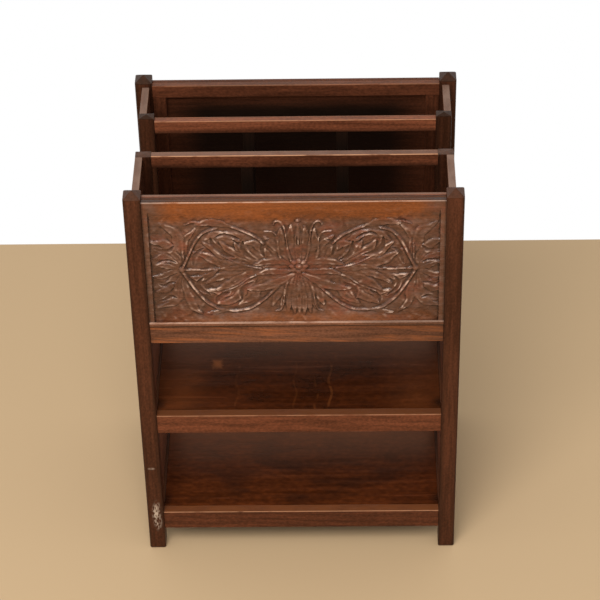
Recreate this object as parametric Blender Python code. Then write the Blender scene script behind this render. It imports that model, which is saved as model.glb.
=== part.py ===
"""Oak magazine stand with a carved front, modelled as separate joined pieces.

X runs to the right, Y to the back and Z up. The origin is the middle of the footprint
on the floor, and the carved panel faces -Y. Lengths are in metres.

Four corner posts carry three frames of rails, each with a board housed between them.
The top frame is the floor of three magazine bays, parted by two open dividers.
"""
import math

import bmesh
import bpy
from mathutils import Matrix, Vector
from mathutils.geometry import interpolate_bezier

# Overall sizes
STAND_WIDTH = 0.430
STAND_DEPTH = 0.279
POST_HEIGHT = 0.6195
TOP_DROP = 0.0055
MAGAZINE_FLOOR_TOP = 0.4117
MIDDLE_SHELF_TOP = 0.2502
BOTTOM_SHELF_TOP = 0.068

# Fits between pieces
CLEARANCE = 0.0003
OVERRUN = 0.002
JOINT_WALL = 0.0015
ARRIS = 0.0008
BOARD_ARRIS = 0.0003

# Corner posts
POST_SIZE = 0.0225
POST_CAP = 0.0078
POST_ARRIS = 0.002
FOOT_EASE = 0.0055

# Rails of the three frames, and their tenons
RAIL_HEIGHT = 0.031
RAIL_THICKNESS = 0.013
RAIL_SETBACK = 0.003
SIDE_INSET = 0.0097
TENON_THICKNESS = 0.006
TENON_SHOULDER = 0.004
TENON_LENGTH = 0.014

# Boards housed in the rails by a tongue on every edge
SHELF_THICKNESS = 0.010
TONGUE_THICKNESS = 0.004
TONGUE_DEPTH = 0.004
TONGUE_STOP = 0.010

# Side boards of the front and back bays and of the shelves
SIDE_BOARD_THICKNESS = 0.0095

# Front and back panels, with the plain frame planted on their inner faces
PANEL_THICKNESS = 0.007
PANEL_TOP_ROUND = 0.003
FIELD_DEPTH = 0.0025
FIELD_TOP_MARGIN = 0.022
FIELD_SIDE_MARGIN = 0.0065
FIELD_BOTTOM_MARGIN = 0.005
STEM_HALF_WIDTH = 0.0018
BROAD_LEAF_HALF_WIDTH = 0.0065
SLIM_LEAF_HALF_WIDTH = 0.0048
RIDGE_TIP = 0.0004
RIDGE_ROOT = 0.0005
ROSETTE_RADIUS = 0.013
BUTTON_RADIUS = 0.0038
PIN_RADIUS = 0.0022
ORNAMENT_OFFSET = 0.0045
INNER_FRAME_THICKNESS = 0.0095
INNER_RAIL_HEIGHT = 0.019
INNER_STILE_WIDTH = 0.018
BEAD_HEIGHT = 0.0075
BEAD_THICKNESS = 0.0026
BEAD_LAP = 0.0022

# Open dividers between the bays
FRONT_DIVIDER_SETBACK = 0.1057
BACK_DIVIDER_SETBACK = 0.1825
UPRIGHT_WIDTH = 0.0203
UPRIGHT_DEPTH = 0.0125
BACK_UPRIGHT_CAP = 0.0027
DIVIDER_RAIL_THICKNESS = 0.010
DIVIDER_RAIL_HEIGHT = 0.019
DIVIDER_TENON_THICKNESS = 0.005
DIVIDER_TENON_LENGTH = 0.008
DIVIDER_TENON_SHOULDER = 0.003
FOOT_TENON_LENGTH = 0.008
SLATS_PER_DIVIDER = 2
SLAT_WIDTH = 0.015
SLAT_THICKNESS = 0.008
SLAT_TENON_THICKNESS = 0.004
SLAT_TENON_LENGTH = 0.006

# Places that follow from the sizes above, as distances from the middle of the stand
TOP = POST_HEIGHT - TOP_DROP
POST_OUTER_X = STAND_WIDTH / 2
POST_OUTER_Y = STAND_DEPTH / 2
POST_INNER_X = POST_OUTER_X - POST_SIZE
POST_INNER_Y = POST_OUTER_Y - POST_SIZE
END_RAIL_OUTER_Y = POST_OUTER_Y - RAIL_SETBACK
END_RAIL_INNER_Y = END_RAIL_OUTER_Y - RAIL_THICKNESS
SIDE_OUTER_X = POST_OUTER_X - SIDE_INSET
SIDE_RAIL_INNER_X = SIDE_OUTER_X - RAIL_THICKNESS
SIDE_BOARD_INNER_X = SIDE_OUTER_X - SIDE_BOARD_THICKNESS
UPRIGHT_INNER_X = SIDE_OUTER_X - UPRIGHT_WIDTH
PANEL_INNER_Y = END_RAIL_OUTER_Y - PANEL_THICKNESS
INNER_FRAME_OUTER_Y = PANEL_INNER_Y - CLEARANCE
INNER_FRAME_INNER_Y = INNER_FRAME_OUTER_Y - INNER_FRAME_THICKNESS

LEVELS = {
    "magazine": MAGAZINE_FLOOR_TOP,
    "middle": MIDDLE_SHELF_TOP,
    "bottom": BOTTOM_SHELF_TOP,
}
SHELF_CEILINGS = {
    "middle": MAGAZINE_FLOOR_TOP - RAIL_HEIGHT,
    "bottom": MIDDLE_SHELF_TOP - RAIL_HEIGHT,
}
DIVIDERS = {
    "front": FRONT_DIVIDER_SETBACK - POST_OUTER_Y,
    "back": BACK_DIVIDER_SETBACK - POST_OUTER_Y,
}
SIDES = {"left": -1, "right": 1}
ENDS = {"front": -1, "back": 1}

# Curves of the carved ornament's right half. Each has a start, two handles and an end, as shares
# of the ornament's half width and half height from its middle
STEM_SHARES = (
    ((0.82, 0.06), (0.77, 0.42), (0.71, 0.81), (0.55, 0.88)),
    ((0.06, 0.13), (0.19, 0.40), (0.32, 0.81), (0.57, 0.90)),
    ((0.82, -0.03), (0.77, -0.40), (0.67, -0.70), (0.48, -0.74)),
    ((0.50, -0.73), (0.32, -0.77), (0.21, -0.35), (0.06, -0.08)),
    ((0.83, 0.02), (0.72, 0.02), (0.55, 0.02), (0.28, 0.02)),
)
BROAD_LEAF_SHARES = (
    ((0.04, -0.08), (0.13, -0.22), (0.23, -0.33), (0.36, -0.35)),
    ((0.25, 0.07), (0.33, 0.17), (0.41, 0.33), (0.44, 0.53)),
    ((0.26, 0.06), (0.39, 0.17), (0.49, 0.33), (0.54, 0.54)),
    ((0.28, 0.05), (0.42, 0.13), (0.56, 0.31), (0.66, 0.54)),
    ((0.31, 0.03), (0.46, 0.06), (0.62, 0.17), (0.75, 0.37)),
    ((0.32, 0.42), (0.36, 0.58), (0.43, 0.70), (0.52, 0.72)),
    ((0.26, -0.02), (0.38, -0.07), (0.49, -0.22), (0.60, -0.37)),
    ((0.30, -0.17), (0.39, -0.40), (0.49, -0.56), (0.58, -0.62)),
    ((0.83, 0.10), (0.83, 0.45), (0.87, 0.72), (0.97, 0.80)),
    ((0.84, 0.08), (0.87, 0.33), (0.93, 0.51), (0.98, 0.54)),
    ((0.84, -0.03), (0.88, -0.19), (0.94, -0.35), (0.98, -0.38)),
    ((0.83, -0.07), (0.85, -0.38), (0.89, -0.63), (0.97, -0.70)),
    ((0.06, 0.11), (0.12, 0.33), (0.14, 0.65), (0.26, 0.79)),
    ((0.03, 0.11), (0.07, 0.40), (0.09, 0.72), (0.18, 0.93)),
    ((0.06, -0.13), (0.13, -0.35), (0.19, -0.56), (0.15, -0.74)),
    ((0.03, -0.13), (0.07, -0.40), (0.10, -0.67), (0.06, -0.86)),
)
SLIM_LEAF_SHARES = (
    ((0.51, 0.87), (0.57, 0.93), (0.64, 0.94), (0.72, 0.88)),
    ((0.52, -0.74), (0.57, -0.78), (0.63, -0.79), (0.68, -0.78)),
    ((0.04, 0.09), (0.13, 0.17), (0.23, 0.18), (0.32, 0.10)),
    ((0.24, 0.09), (0.30, 0.16), (0.34, 0.24), (0.35, 0.39)),
    ((0.29, 0.00), (0.42, -0.01), (0.54, -0.08), (0.65, -0.23)),
    ((0.25, -0.22), (0.31, -0.40), (0.35, -0.54), (0.43, -0.65)),
    ((0.82, 0.10), (0.80, 0.35), (0.79, 0.63), (0.73, 0.81)),
    ((0.84, 0.05), (0.89, 0.15), (0.94, 0.24), (0.98, 0.23)),
    ((0.84, 0.00), (0.89, -0.05), (0.94, -0.09), (0.98, -0.08)),
    ((0.82, -0.08), (0.81, -0.38), (0.78, -0.65), (0.70, -0.81)),
)
MIDDLE_LEAF_SHARES = (
    ((0.00, 0.10), (0.00, 0.35), (0.00, 0.58), (0.00, 0.83)),
    ((0.00, -0.13), (0.00, -0.35), (0.00, -0.61), (0.00, -0.88)),
)
KNOT_SHARES = (0.83, 0.02)
PIN_SHARES = (0.00, 0.92)
STEM_RISE_SHARES = (0.93, 0.88)
BROAD_LEAF_RISE_SHARES = (0.50, 0.84)
SLIM_LEAF_RISE_SHARES = (0.45, 0.80)
PETAL_REACH_SHARES = (0.2, 0.6, 1.0)
PETAL_RISE_SHARES = (0.90, 0.70)
BUTTON_RISE_SHARE = 0.97
RIDGE_PIECES = 6
ROSETTE_PETALS = 8
BUTTON_SIDES = 12

# Colours of the stained oak, as linear red, green and blue
POST_OAK = (0.140, 0.052, 0.028)
RAIL_OAK = (0.185, 0.072, 0.034)
CARVED_OAK = (0.165, 0.072, 0.036)
INNER_OAK = (0.110, 0.045, 0.025)
SHELF_OAK = (0.125, 0.050, 0.025)
OAK_ROUGHNESS = 0.42


def box(x, y, z):
    """Return the low and high corners of the box between pairs of places on each axis."""
    low = Vector((min(x), min(y), min(z)))
    high = Vector((max(x), max(y), max(z)))
    return low, high


def grown(corners, amount=CLEARANCE):
    """Return a box larger by the amount on every side, as a mortise is round its tenon."""
    margin = Vector((amount, amount, amount))
    return corners[0] - margin, corners[1] + margin


def span(middle, size):
    """Return the two ends of a length centred on a place."""
    return middle - size / 2, middle + size / 2


def add_box(mesh, corners):
    """Add a box to a bmesh and return its new vertices."""
    low, high = corners
    verts = bmesh.ops.create_cube(mesh, size=1)["verts"]
    bmesh.ops.scale(mesh, vec=high - low, verts=verts)
    bmesh.ops.translate(mesh, vec=(low + high) / 2, verts=verts)
    return verts


def edges_along(mesh, axis):
    """Return the edges of a box-like bmesh that run along one axis."""
    def runs_along(edge):
        direction = (edge.verts[1].co - edge.verts[0].co).normalized()
        return abs(direction[axis]) > math.cos(math.radians(1))
    return [edge for edge in mesh.edges if runs_along(edge)]


def round_edges(mesh, edges, radius, segments):
    """Round the given edges of a bmesh."""
    bmesh.ops.bevel(mesh, geom=edges, offset=radius, segments=segments, profile=0.5,
                    affect="EDGES", clamp_overlap=True)


def new_collection(name):
    """Make a collection in the scene."""
    collection = bpy.data.collections.new(name)
    bpy.context.scene.collection.children.link(collection)
    return collection


def oak(name, colour):
    """Make a stained and waxed oak material."""
    material = bpy.data.materials.new(name)
    material.use_nodes = True
    shader = material.node_tree.nodes["Principled BSDF"]
    shader.inputs["Base Color"].default_value = (*colour, 1)
    shader.inputs["Roughness"].default_value = OAK_ROUGHNESS
    shader.inputs["Metallic"].default_value = 0
    material.diffuse_color = (*colour, 1)
    return material


def new_object(name, mesh, collection, colour=None):
    """Turn a bmesh into a named object, with its own material if a colour is given."""
    bmesh.ops.recalc_face_normals(mesh, faces=mesh.faces)
    data = bpy.data.meshes.new(name)
    mesh.to_mesh(data)
    mesh.free()
    made = bpy.data.objects.new(name, data)
    collection.objects.link(made)
    if colour:
        data.materials.append(oak(name, colour))
    return made


def box_mesh(boxes):
    """Make a bmesh of boxes."""
    mesh = bmesh.new()
    for corners in boxes:
        add_box(mesh, corners)
    return mesh


def combine(piece, mesh, operation, crossing=False):
    """Add the bodies of a bmesh to a piece, or cut them out of it, with a Boolean modifier.
    The bodies may cross each other only if crossing is true."""
    name = f"{piece.name}_{operation.lower()}"
    cutter = new_object(name, mesh, bpy.data.collections["cutters"])
    cutter.hide_render = True
    cutter.display_type = "WIRE"
    modifier = piece.modifiers.new(operation.title(), "BOOLEAN")
    modifier.operation = operation
    modifier.object = cutter
    modifier.solver = "EXACT"
    modifier.use_self = crossing


def join_tenons(piece, boxes):
    """Fuse tenons or tongues, which start inside the piece, to its ends or edges."""
    combine(piece, box_mesh(boxes), "UNION")


def cut_mortises(piece, boxes):
    """Cut a mortise or groove for each tenon or tongue, with the clearance round it."""
    combine(piece, box_mesh([grown(corners) for corners in boxes]), "DIFFERENCE")


def block(name, corners, grain_axis, colour, arris=ARRIS):
    """Make a sawn piece whose long edges, along its grain, are eased."""
    mesh = bmesh.new()
    add_box(mesh, corners)
    round_edges(mesh, edges_along(mesh, grain_axis), arris, 2)
    return new_object(name, mesh, bpy.data.collections["magazine_stand"], colour)


def end_rail_tenon(side, end, top):
    """Tenon of a front or back rail in the post at one side."""
    middle_y = (END_RAIL_OUTER_Y + END_RAIL_INNER_Y) / 2
    return box(
        (side * (POST_INNER_X - OVERRUN), side * (POST_INNER_X + TENON_LENGTH)),
        span(end * middle_y, TENON_THICKNESS),
        (top - RAIL_HEIGHT + TENON_SHOULDER, top - TENON_SHOULDER),
    )


def side_rail_tenon(side, end, top):
    """Tenon of a side rail, which stops short of the end rail's tenon in the same post."""
    middle_x = (SIDE_OUTER_X + SIDE_RAIL_INNER_X) / 2
    end_tenon_inner_y = (END_RAIL_OUTER_Y + END_RAIL_INNER_Y - TENON_THICKNESS) / 2
    return box(
        span(side * middle_x, TENON_THICKNESS),
        (end * (POST_INNER_Y - OVERRUN), end * (end_tenon_inner_y - JOINT_WALL)),
        (top - RAIL_HEIGHT + TENON_SHOULDER, top - TENON_SHOULDER),
    )


def panel_tongue(side, end):
    """Tongue of the front or back panel in the post at one side."""
    middle_y = (END_RAIL_OUTER_Y + PANEL_INNER_Y) / 2
    return box(
        (side * (POST_INNER_X - OVERRUN), side * (POST_INNER_X + TONGUE_DEPTH)),
        span(end * middle_y, TONGUE_THICKNESS),
        (MAGAZINE_FLOOR_TOP + TENON_SHOULDER, TOP - TONGUE_STOP),
    )


def side_board_tongue(side, face_y, direction, height):
    """Tongue of a side board in the post or upright whose face is at face_y."""
    middle_x = (SIDE_OUTER_X + SIDE_BOARD_INNER_X) / 2
    return box(
        span(side * middle_x, TONGUE_THICKNESS),
        (face_y - direction * OVERRUN, face_y + direction * TONGUE_DEPTH),
        height,
    )


def bay_tongue_height():
    """Lower and upper ends of the tongues of a magazine bay's side board."""
    return MAGAZINE_FLOOR_TOP + TENON_SHOULDER, TOP - TONGUE_STOP


def shelf_tongue_height(level):
    """Lower and upper ends of the tongues of the side boards over one of the shelves."""
    return LEVELS[level] + TENON_SHOULDER, SHELF_CEILINGS[level] - TENON_SHOULDER


def board_tongue_faces(top):
    """Lower and upper faces of a shelf board's tongue."""
    return span(top - SHELF_THICKNESS / 2, TONGUE_THICKNESS)


def shelf_end_tongue(end, top):
    """Tongue of a shelf board in the front or back rail."""
    reach = min(POST_INNER_X, SIDE_RAIL_INNER_X) - CLEARANCE
    return box(
        (-reach, reach),
        (end * (END_RAIL_INNER_Y - OVERRUN), end * (END_RAIL_INNER_Y + TONGUE_DEPTH)),
        board_tongue_faces(top),
    )


def shelf_side_tongue(side, top):
    """Tongue of a shelf board in a side rail, between the posts."""
    reach = POST_INNER_Y - CLEARANCE
    return box(
        (side * (SIDE_RAIL_INNER_X - OVERRUN), side * (SIDE_RAIL_INNER_X + TONGUE_DEPTH)),
        (-reach, reach),
        board_tongue_faces(top),
    )


def divider_rail_tenon(side, divider_y):
    """Tenon of a divider's top rail in its upright."""
    return box(
        (side * (UPRIGHT_INNER_X - OVERRUN), side * (UPRIGHT_INNER_X + DIVIDER_TENON_LENGTH)),
        span(divider_y, DIVIDER_TENON_THICKNESS),
        (TOP - DIVIDER_RAIL_HEIGHT + DIVIDER_TENON_SHOULDER, TOP - DIVIDER_TENON_SHOULDER),
    )


def upright_foot_tenon(side, divider_y):
    """Tenon under an upright, in the top edge of the side rail, outside its groove."""
    inner_x = SIDE_RAIL_INNER_X + TONGUE_DEPTH + JOINT_WALL
    return box(
        (side * inner_x, side * (SIDE_OUTER_X - DIVIDER_TENON_SHOULDER)),
        span(divider_y, UPRIGHT_DEPTH - 2 * DIVIDER_TENON_SHOULDER),
        (MAGAZINE_FLOOR_TOP - FOOT_TENON_LENGTH, MAGAZINE_FLOOR_TOP + OVERRUN),
    )


def slat_places():
    """Middles of a divider's slats, evenly spread between its uprights."""
    clear_width = 2 * UPRIGHT_INNER_X
    gaps = SLATS_PER_DIVIDER + 1
    return [clear_width * place / gaps - UPRIGHT_INNER_X for place in range(1, gaps)]


def slat_tenon(slat_x, divider_y, face_z, direction):
    """Tenon at the top or foot of a slat, in the rail or floor whose face is at face_z."""
    return box(
        span(slat_x, SLAT_WIDTH - 2 * DIVIDER_TENON_SHOULDER),
        span(divider_y, SLAT_TENON_THICKNESS),
        (face_z - direction * OVERRUN, face_z + direction * SLAT_TENON_LENGTH),
    )


def post_box(side, end):
    """Outline of a corner post, up to its shoulder."""
    return box(
        (side * POST_INNER_X, side * POST_OUTER_X),
        (end * POST_INNER_Y, end * POST_OUTER_Y),
        (0, POST_HEIGHT),
    )


def capped_post(name, corners, cap, foot_ease, arris):
    """Make an upright with eased edges, a low pyramid on top and a rounded foot."""
    mesh = bmesh.new()
    add_box(mesh, corners)
    round_edges(mesh, edges_along(mesh, 2), arris, 2)
    mesh.faces.ensure_lookup_table()
    low_z = corners[0].z
    if foot_ease:
        foot = [edge for edge in mesh.edges if all(abs(v.co.z - low_z) < ARRIS for v in edge.verts)]
        round_edges(mesh, foot, foot_ease, 2)
    top = max(mesh.faces, key=lambda face: face.calc_center_median().z)
    bmesh.ops.poke(mesh, faces=[top], offset=cap)
    return new_object(name, mesh, bpy.data.collections["magazine_stand"], POST_OAK)


def make_posts():
    """Make the four corner posts, with a mortise or groove for all that enters them."""
    for end_name, end in ENDS.items():
        for side_name, side in SIDES.items():
            name = f"{end_name}_{side_name}_post"
            post = capped_post(name, post_box(side, end), POST_CAP, FOOT_EASE, POST_ARRIS)
            heights = [bay_tongue_height()] + [shelf_tongue_height(level) for level in SHELF_CEILINGS]
            tenons = [side_board_tongue(side, end * POST_INNER_Y, end, height) for height in heights]
            tenons.append(panel_tongue(side, end))
            for top in LEVELS.values():
                tenons += [end_rail_tenon(side, end, top), side_rail_tenon(side, end, top)]
            cut_mortises(post, tenons)


def make_frames():
    """Make the rails of the three levels, grooved for their boards."""
    for level, top in LEVELS.items():
        height = (top - RAIL_HEIGHT, top)
        for end_name, end in ENDS.items():
            reach = POST_INNER_X - CLEARANCE
            depth = (end * END_RAIL_INNER_Y, end * END_RAIL_OUTER_Y)
            corners = box((-reach, reach), depth, height)
            rail = block(f"{level}_{end_name}_rail", corners, 0, RAIL_OAK)
            join_tenons(rail, [end_rail_tenon(side, end, top) for side in SIDES.values()])
            cut_mortises(rail, [shelf_end_tongue(end, top)])
        for side_name, side in SIDES.items():
            reach = POST_INNER_Y - CLEARANCE
            width = (side * SIDE_RAIL_INNER_X, side * SIDE_OUTER_X)
            corners = box(width, (-reach, reach), height)
            rail = block(f"{level}_{side_name}_rail", corners, 1, RAIL_OAK)
            join_tenons(rail, [side_rail_tenon(side, end, top) for end in ENDS.values()])
            grooves = [shelf_side_tongue(side, top)]
            if level == "magazine":
                grooves += [upright_foot_tenon(side, place) for place in DIVIDERS.values()]
            cut_mortises(rail, grooves)


def make_boards():
    """Make the magazine floor and the two shelves, flush with the tops of their rails."""
    names = {"magazine": "magazine_floor_board", "middle": "middle_shelf_board",
             "bottom": "bottom_shelf_board"}
    reach_x = SIDE_RAIL_INNER_X - CLEARANCE
    reach_y = END_RAIL_INNER_Y - CLEARANCE
    for level, top in LEVELS.items():
        corners = box((-reach_x, reach_x), (-reach_y, reach_y), (top - SHELF_THICKNESS, top))
        board = block(names[level], corners, 0, SHELF_OAK, BOARD_ARRIS)
        tongues = [shelf_end_tongue(end, top) for end in ENDS.values()]
        tongues += [shelf_side_tongue(side, top) for side in SIDES.values()]
        join_tenons(board, tongues)
        taken = [post_box(side, end) for side in SIDES.values() for end in ENDS.values()]
        if level == "magazine":
            taken += [slat_tenon(slat_x, place, top, -1)
                      for place in DIVIDERS.values() for slat_x in slat_places()]
        cut_mortises(board, taken)


def make_side_boards():
    """Make the boards that close the sides of the front and back bays."""
    for end_name, end in ENDS.items():
        upright_face_y = DIVIDERS[end_name] + end * UPRIGHT_DEPTH / 2
        post_face_y = end * POST_INNER_Y
        depth = (upright_face_y + end * CLEARANCE, post_face_y - end * CLEARANCE)
        for side_name, side in SIDES.items():
            corners = box((side * SIDE_BOARD_INNER_X, side * SIDE_OUTER_X), depth,
                          (MAGAZINE_FLOOR_TOP + CLEARANCE, TOP))
            board = block(f"{end_name}_{side_name}_side_board", corners, 1, INNER_OAK)
            join_tenons(board, [side_board_tongue(side, post_face_y, end, bay_tongue_height()),
                                side_board_tongue(side, upright_face_y, -end, bay_tongue_height())])


def make_shelf_sides():
    """Make the boards that close the sides of the two shelves, from post to post."""
    reach = POST_INNER_Y - CLEARANCE
    for level, ceiling in SHELF_CEILINGS.items():
        for side_name, side in SIDES.items():
            corners = box((side * SIDE_BOARD_INNER_X, side * SIDE_OUTER_X), (-reach, reach),
                          (LEVELS[level] + CLEARANCE, ceiling - CLEARANCE))
            board = block(f"{level}_{side_name}_side_board", corners, 1, INNER_OAK)
            height = shelf_tongue_height(level)
            join_tenons(board, [side_board_tongue(side, end * POST_INNER_Y, end, height)
                                for end in ENDS.values()])


def make_dividers():
    """Make the two open dividers: a pair of uprights, a top rail and the slats under it."""
    rail_bottom = TOP - DIVIDER_RAIL_HEIGHT
    for end_name, end in ENDS.items():
        place = DIVIDERS[end_name]
        shoulder = TOP if end_name == "front" else POST_HEIGHT
        cap = ARRIS if end_name == "front" else BACK_UPRIGHT_CAP
        for side_name, side in SIDES.items():
            corners = box((side * UPRIGHT_INNER_X, side * SIDE_OUTER_X),
                          span(place, UPRIGHT_DEPTH),
                          (MAGAZINE_FLOOR_TOP + CLEARANCE, shoulder))
            name = f"{end_name}_divider_{side_name}_upright"
            upright = capped_post(name, corners, cap, 0, ARRIS)
            join_tenons(upright, [upright_foot_tenon(side, place)])
            board_face_y = place + end * UPRIGHT_DEPTH / 2
            cut_mortises(upright, [divider_rail_tenon(side, place),
                                   side_board_tongue(side, board_face_y, -end, bay_tongue_height())])
        reach = UPRIGHT_INNER_X - CLEARANCE
        corners = box((-reach, reach), span(place, DIVIDER_RAIL_THICKNESS), (rail_bottom, TOP))
        rail = block(f"{end_name}_divider_top_rail", corners, 0, RAIL_OAK)
        join_tenons(rail, [divider_rail_tenon(side, place) for side in SIDES.values()])
        cut_mortises(rail, [slat_tenon(slat_x, place, rail_bottom, 1) for slat_x in slat_places()])
        for number, slat_x in enumerate(slat_places(), 1):
            corners = box(span(slat_x, SLAT_WIDTH), span(place, SLAT_THICKNESS),
                          (MAGAZINE_FLOOR_TOP + CLEARANCE, rail_bottom - CLEARANCE))
            slat = block(f"{end_name}_divider_slat_{number}", corners, 2, INNER_OAK)
            join_tenons(slat, [slat_tenon(slat_x, place, rail_bottom, 1),
                               slat_tenon(slat_x, place, MAGAZINE_FLOOR_TOP, -1)])


def make_panel(name, end, colour):
    """Make the front or back panel, with its tongues and the rounded outer top edge."""
    reach = POST_INNER_X - CLEARANCE
    outer_y = end * END_RAIL_OUTER_Y
    corners = box((-reach, reach), (end * PANEL_INNER_Y, outer_y),
                  (MAGAZINE_FLOOR_TOP + CLEARANCE, TOP))
    mesh = bmesh.new()
    add_box(mesh, corners)
    top_edge = max(edges_along(mesh, 0), key=lambda edge: edge.verts[0].co.z + end * edge.verts[0].co.y)
    round_edges(mesh, [top_edge], PANEL_TOP_ROUND, 4)
    panel = new_object(name, mesh, bpy.data.collections["magazine_stand"], colour)
    join_tenons(panel, [panel_tongue(side, end) for side in SIDES.values()])
    return panel


def carved_field():
    """Outline of the field that is sunk in the front panel, for the carving to stand in."""
    reach = POST_INNER_X - CLEARANCE - FIELD_SIDE_MARGIN
    return box(
        (-reach, reach),
        (-END_RAIL_OUTER_Y - OVERRUN, -END_RAIL_OUTER_Y + FIELD_DEPTH),
        (MAGAZINE_FLOOR_TOP + CLEARANCE + FIELD_BOTTOM_MARGIN, TOP - FIELD_TOP_MARGIN),
    )


def ornament_place(share_x, share_z, side=1):
    """Return a place on the floor of the sunk field, from its shares of the ornament's size."""
    low, high = carved_field()
    half_width = high.x - ORNAMENT_OFFSET
    half_height = (high.z - low.z) / 2
    return Vector((ORNAMENT_OFFSET + side * share_x * half_width, high.y,
                   (low.z + high.z) / 2 + share_z * half_height))


def add_ridge(mesh, path, half_widths, rise_shares):
    """Add a ridge with a three-cornered section along a path on the floor of the sunk field.
    Its crest rises from the first share of the field's depth to the second."""
    rings = []
    for number, place in enumerate(path):
        along = path[min(number + 1, len(path) - 1)] - path[max(number - 1, 0)]
        across = Vector((-along.z, 0, along.x)).normalized()
        progress = number / (len(path) - 1)
        rise = FIELD_DEPTH * (rise_shares[0] + progress * (rise_shares[1] - rise_shares[0]))
        foot = across * half_widths[number] * (1 + RIDGE_ROOT / rise)
        base = place + Vector((0, RIDGE_ROOT, 0))
        crest = place - Vector((0, rise, 0))
        rings.append([mesh.verts.new(corner) for corner in (base - foot, crest, base + foot)])
    for ring, after in zip(rings, rings[1:]):
        for corner, low in enumerate(ring):
            following = (corner + 1) % len(ring)
            mesh.faces.new((low, ring[following], after[following], after[corner]))
    mesh.faces.new(rings[0])
    mesh.faces.new(rings[-1])


def leaf_widths(half_width, pieces):
    """Half widths along a leaf: none at its ends but the tip's, and the full width midway."""
    return [max(RIDGE_TIP, half_width * math.sin(math.pi * number / pieces))
            for number in range(pieces + 1)]


def add_curve(mesh, shares, half_widths, rise_shares, side=1):
    """Add a ridge along one of the ornament's curves."""
    knots = [ornament_place(share_x, share_z, side) for share_x, share_z in shares]
    add_ridge(mesh, interpolate_bezier(*knots, len(half_widths)), half_widths, rise_shares)


def add_button(mesh, place, radius):
    """Add a low round button, tapered to its face, on the floor of the sunk field."""
    height = FIELD_DEPTH * BUTTON_RISE_SHARE + RIDGE_ROOT
    turned = Matrix.Rotation(math.pi / 2, 4, "X")
    middle = Matrix.Translation(place + Vector((0, RIDGE_ROOT - height / 2, 0)))
    bmesh.ops.create_cone(mesh, cap_ends=True, segments=BUTTON_SIDES, radius1=radius,
                          radius2=radius - RIDGE_ROOT, depth=height, matrix=middle @ turned)


def add_rosette(mesh):
    """Add the rosette in the ornament's middle: petals round a button."""
    middle = ornament_place(0, 0)
    width = ROSETTE_RADIUS * math.sin(math.pi / ROSETTE_PETALS)
    for number in range(ROSETTE_PETALS):
        angle = 2 * math.pi * number / ROSETTE_PETALS
        direction = Vector((math.cos(angle), 0, math.sin(angle)))
        path = [middle + direction * ROSETTE_RADIUS * share for share in PETAL_REACH_SHARES]
        add_ridge(mesh, path, leaf_widths(width, len(path) - 1), PETAL_RISE_SHARES)
    add_button(mesh, middle, BUTTON_RADIUS)


def ornament_mesh():
    """Carve the ornament: the same stems and leaves on either side of the rosette."""
    mesh = bmesh.new()
    stem = [STEM_HALF_WIDTH] * (RIDGE_PIECES + 1)
    broad = leaf_widths(BROAD_LEAF_HALF_WIDTH, RIDGE_PIECES)
    slim = leaf_widths(SLIM_LEAF_HALF_WIDTH, RIDGE_PIECES)
    for side in SIDES.values():
        for shares in BROAD_LEAF_SHARES:
            add_curve(mesh, shares, broad, BROAD_LEAF_RISE_SHARES, side)
        for shares in SLIM_LEAF_SHARES:
            add_curve(mesh, shares, slim, SLIM_LEAF_RISE_SHARES, side)
        for shares in STEM_SHARES:
            add_curve(mesh, shares, stem, STEM_RISE_SHARES, side)
        add_button(mesh, ornament_place(*KNOT_SHARES, side), BUTTON_RADIUS)
    for shares in MIDDLE_LEAF_SHARES:
        add_curve(mesh, shares, broad, BROAD_LEAF_RISE_SHARES)
    add_button(mesh, ornament_place(*PIN_SHARES), PIN_RADIUS)
    add_rosette(mesh)
    return mesh


def make_panels():
    """Make both panels and the plain rail and stiles planted on their inner faces."""
    carved = make_panel("carved_front_panel", ENDS["front"], CARVED_OAK)
    combine(carved, box_mesh([carved_field()]), "DIFFERENCE")
    combine(carved, ornament_mesh(), "UNION", crossing=True)
    make_panel("back_panel", ENDS["back"], INNER_OAK)
    rail_bottom = TOP - INNER_RAIL_HEIGHT
    reach = POST_INNER_X - CLEARANCE
    for end_name, end in ENDS.items():
        depth = (end * INNER_FRAME_INNER_Y, end * INNER_FRAME_OUTER_Y)
        corners = box((-reach, reach), depth, (rail_bottom, TOP))
        block(f"{end_name}_inner_top_rail", corners, 0, RAIL_OAK)
        for side_name, side in SIDES.items():
            corners = box((side * (reach - INNER_STILE_WIDTH), side * reach), depth,
                          (MAGAZINE_FLOOR_TOP + CLEARANCE, rail_bottom - CLEARANCE))
            block(f"{end_name}_inner_{side_name}_stile", corners, 2, INNER_OAK)


def make_bead():
    """Make the half-round bead that covers the joint under the carved panel."""
    reach = POST_INNER_X - CLEARANCE
    back_y = -END_RAIL_OUTER_Y - CLEARANCE
    bottom = MAGAZINE_FLOOR_TOP - BEAD_LAP
    corners = box((-reach, reach), (back_y - BEAD_THICKNESS, back_y), (bottom, bottom + BEAD_HEIGHT))
    mesh = bmesh.new()
    add_box(mesh, corners)
    outer = [edge for edge in edges_along(mesh, 0) if edge.verts[0].co.y < back_y - CLEARANCE]
    round_edges(mesh, outer, min(BEAD_THICKNESS, BEAD_HEIGHT / 2) - CLEARANCE, 4)
    new_object("front_panel_bead", mesh, bpy.data.collections["magazine_stand"], RAIL_OAK)


def main():
    """Clear the scene and build the stand."""
    for old in list(bpy.data.objects):
        bpy.data.objects.remove(old, do_unlink=True)
    new_collection("magazine_stand")
    new_collection("cutters")
    make_posts()
    make_frames()
    make_boards()
    make_side_boards()
    make_shelf_sides()
    make_dividers()
    make_panels()
    make_bead()


main()
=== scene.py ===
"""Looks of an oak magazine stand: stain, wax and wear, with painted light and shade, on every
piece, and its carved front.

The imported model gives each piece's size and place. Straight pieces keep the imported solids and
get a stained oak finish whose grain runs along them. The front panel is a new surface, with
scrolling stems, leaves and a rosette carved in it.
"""

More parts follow.
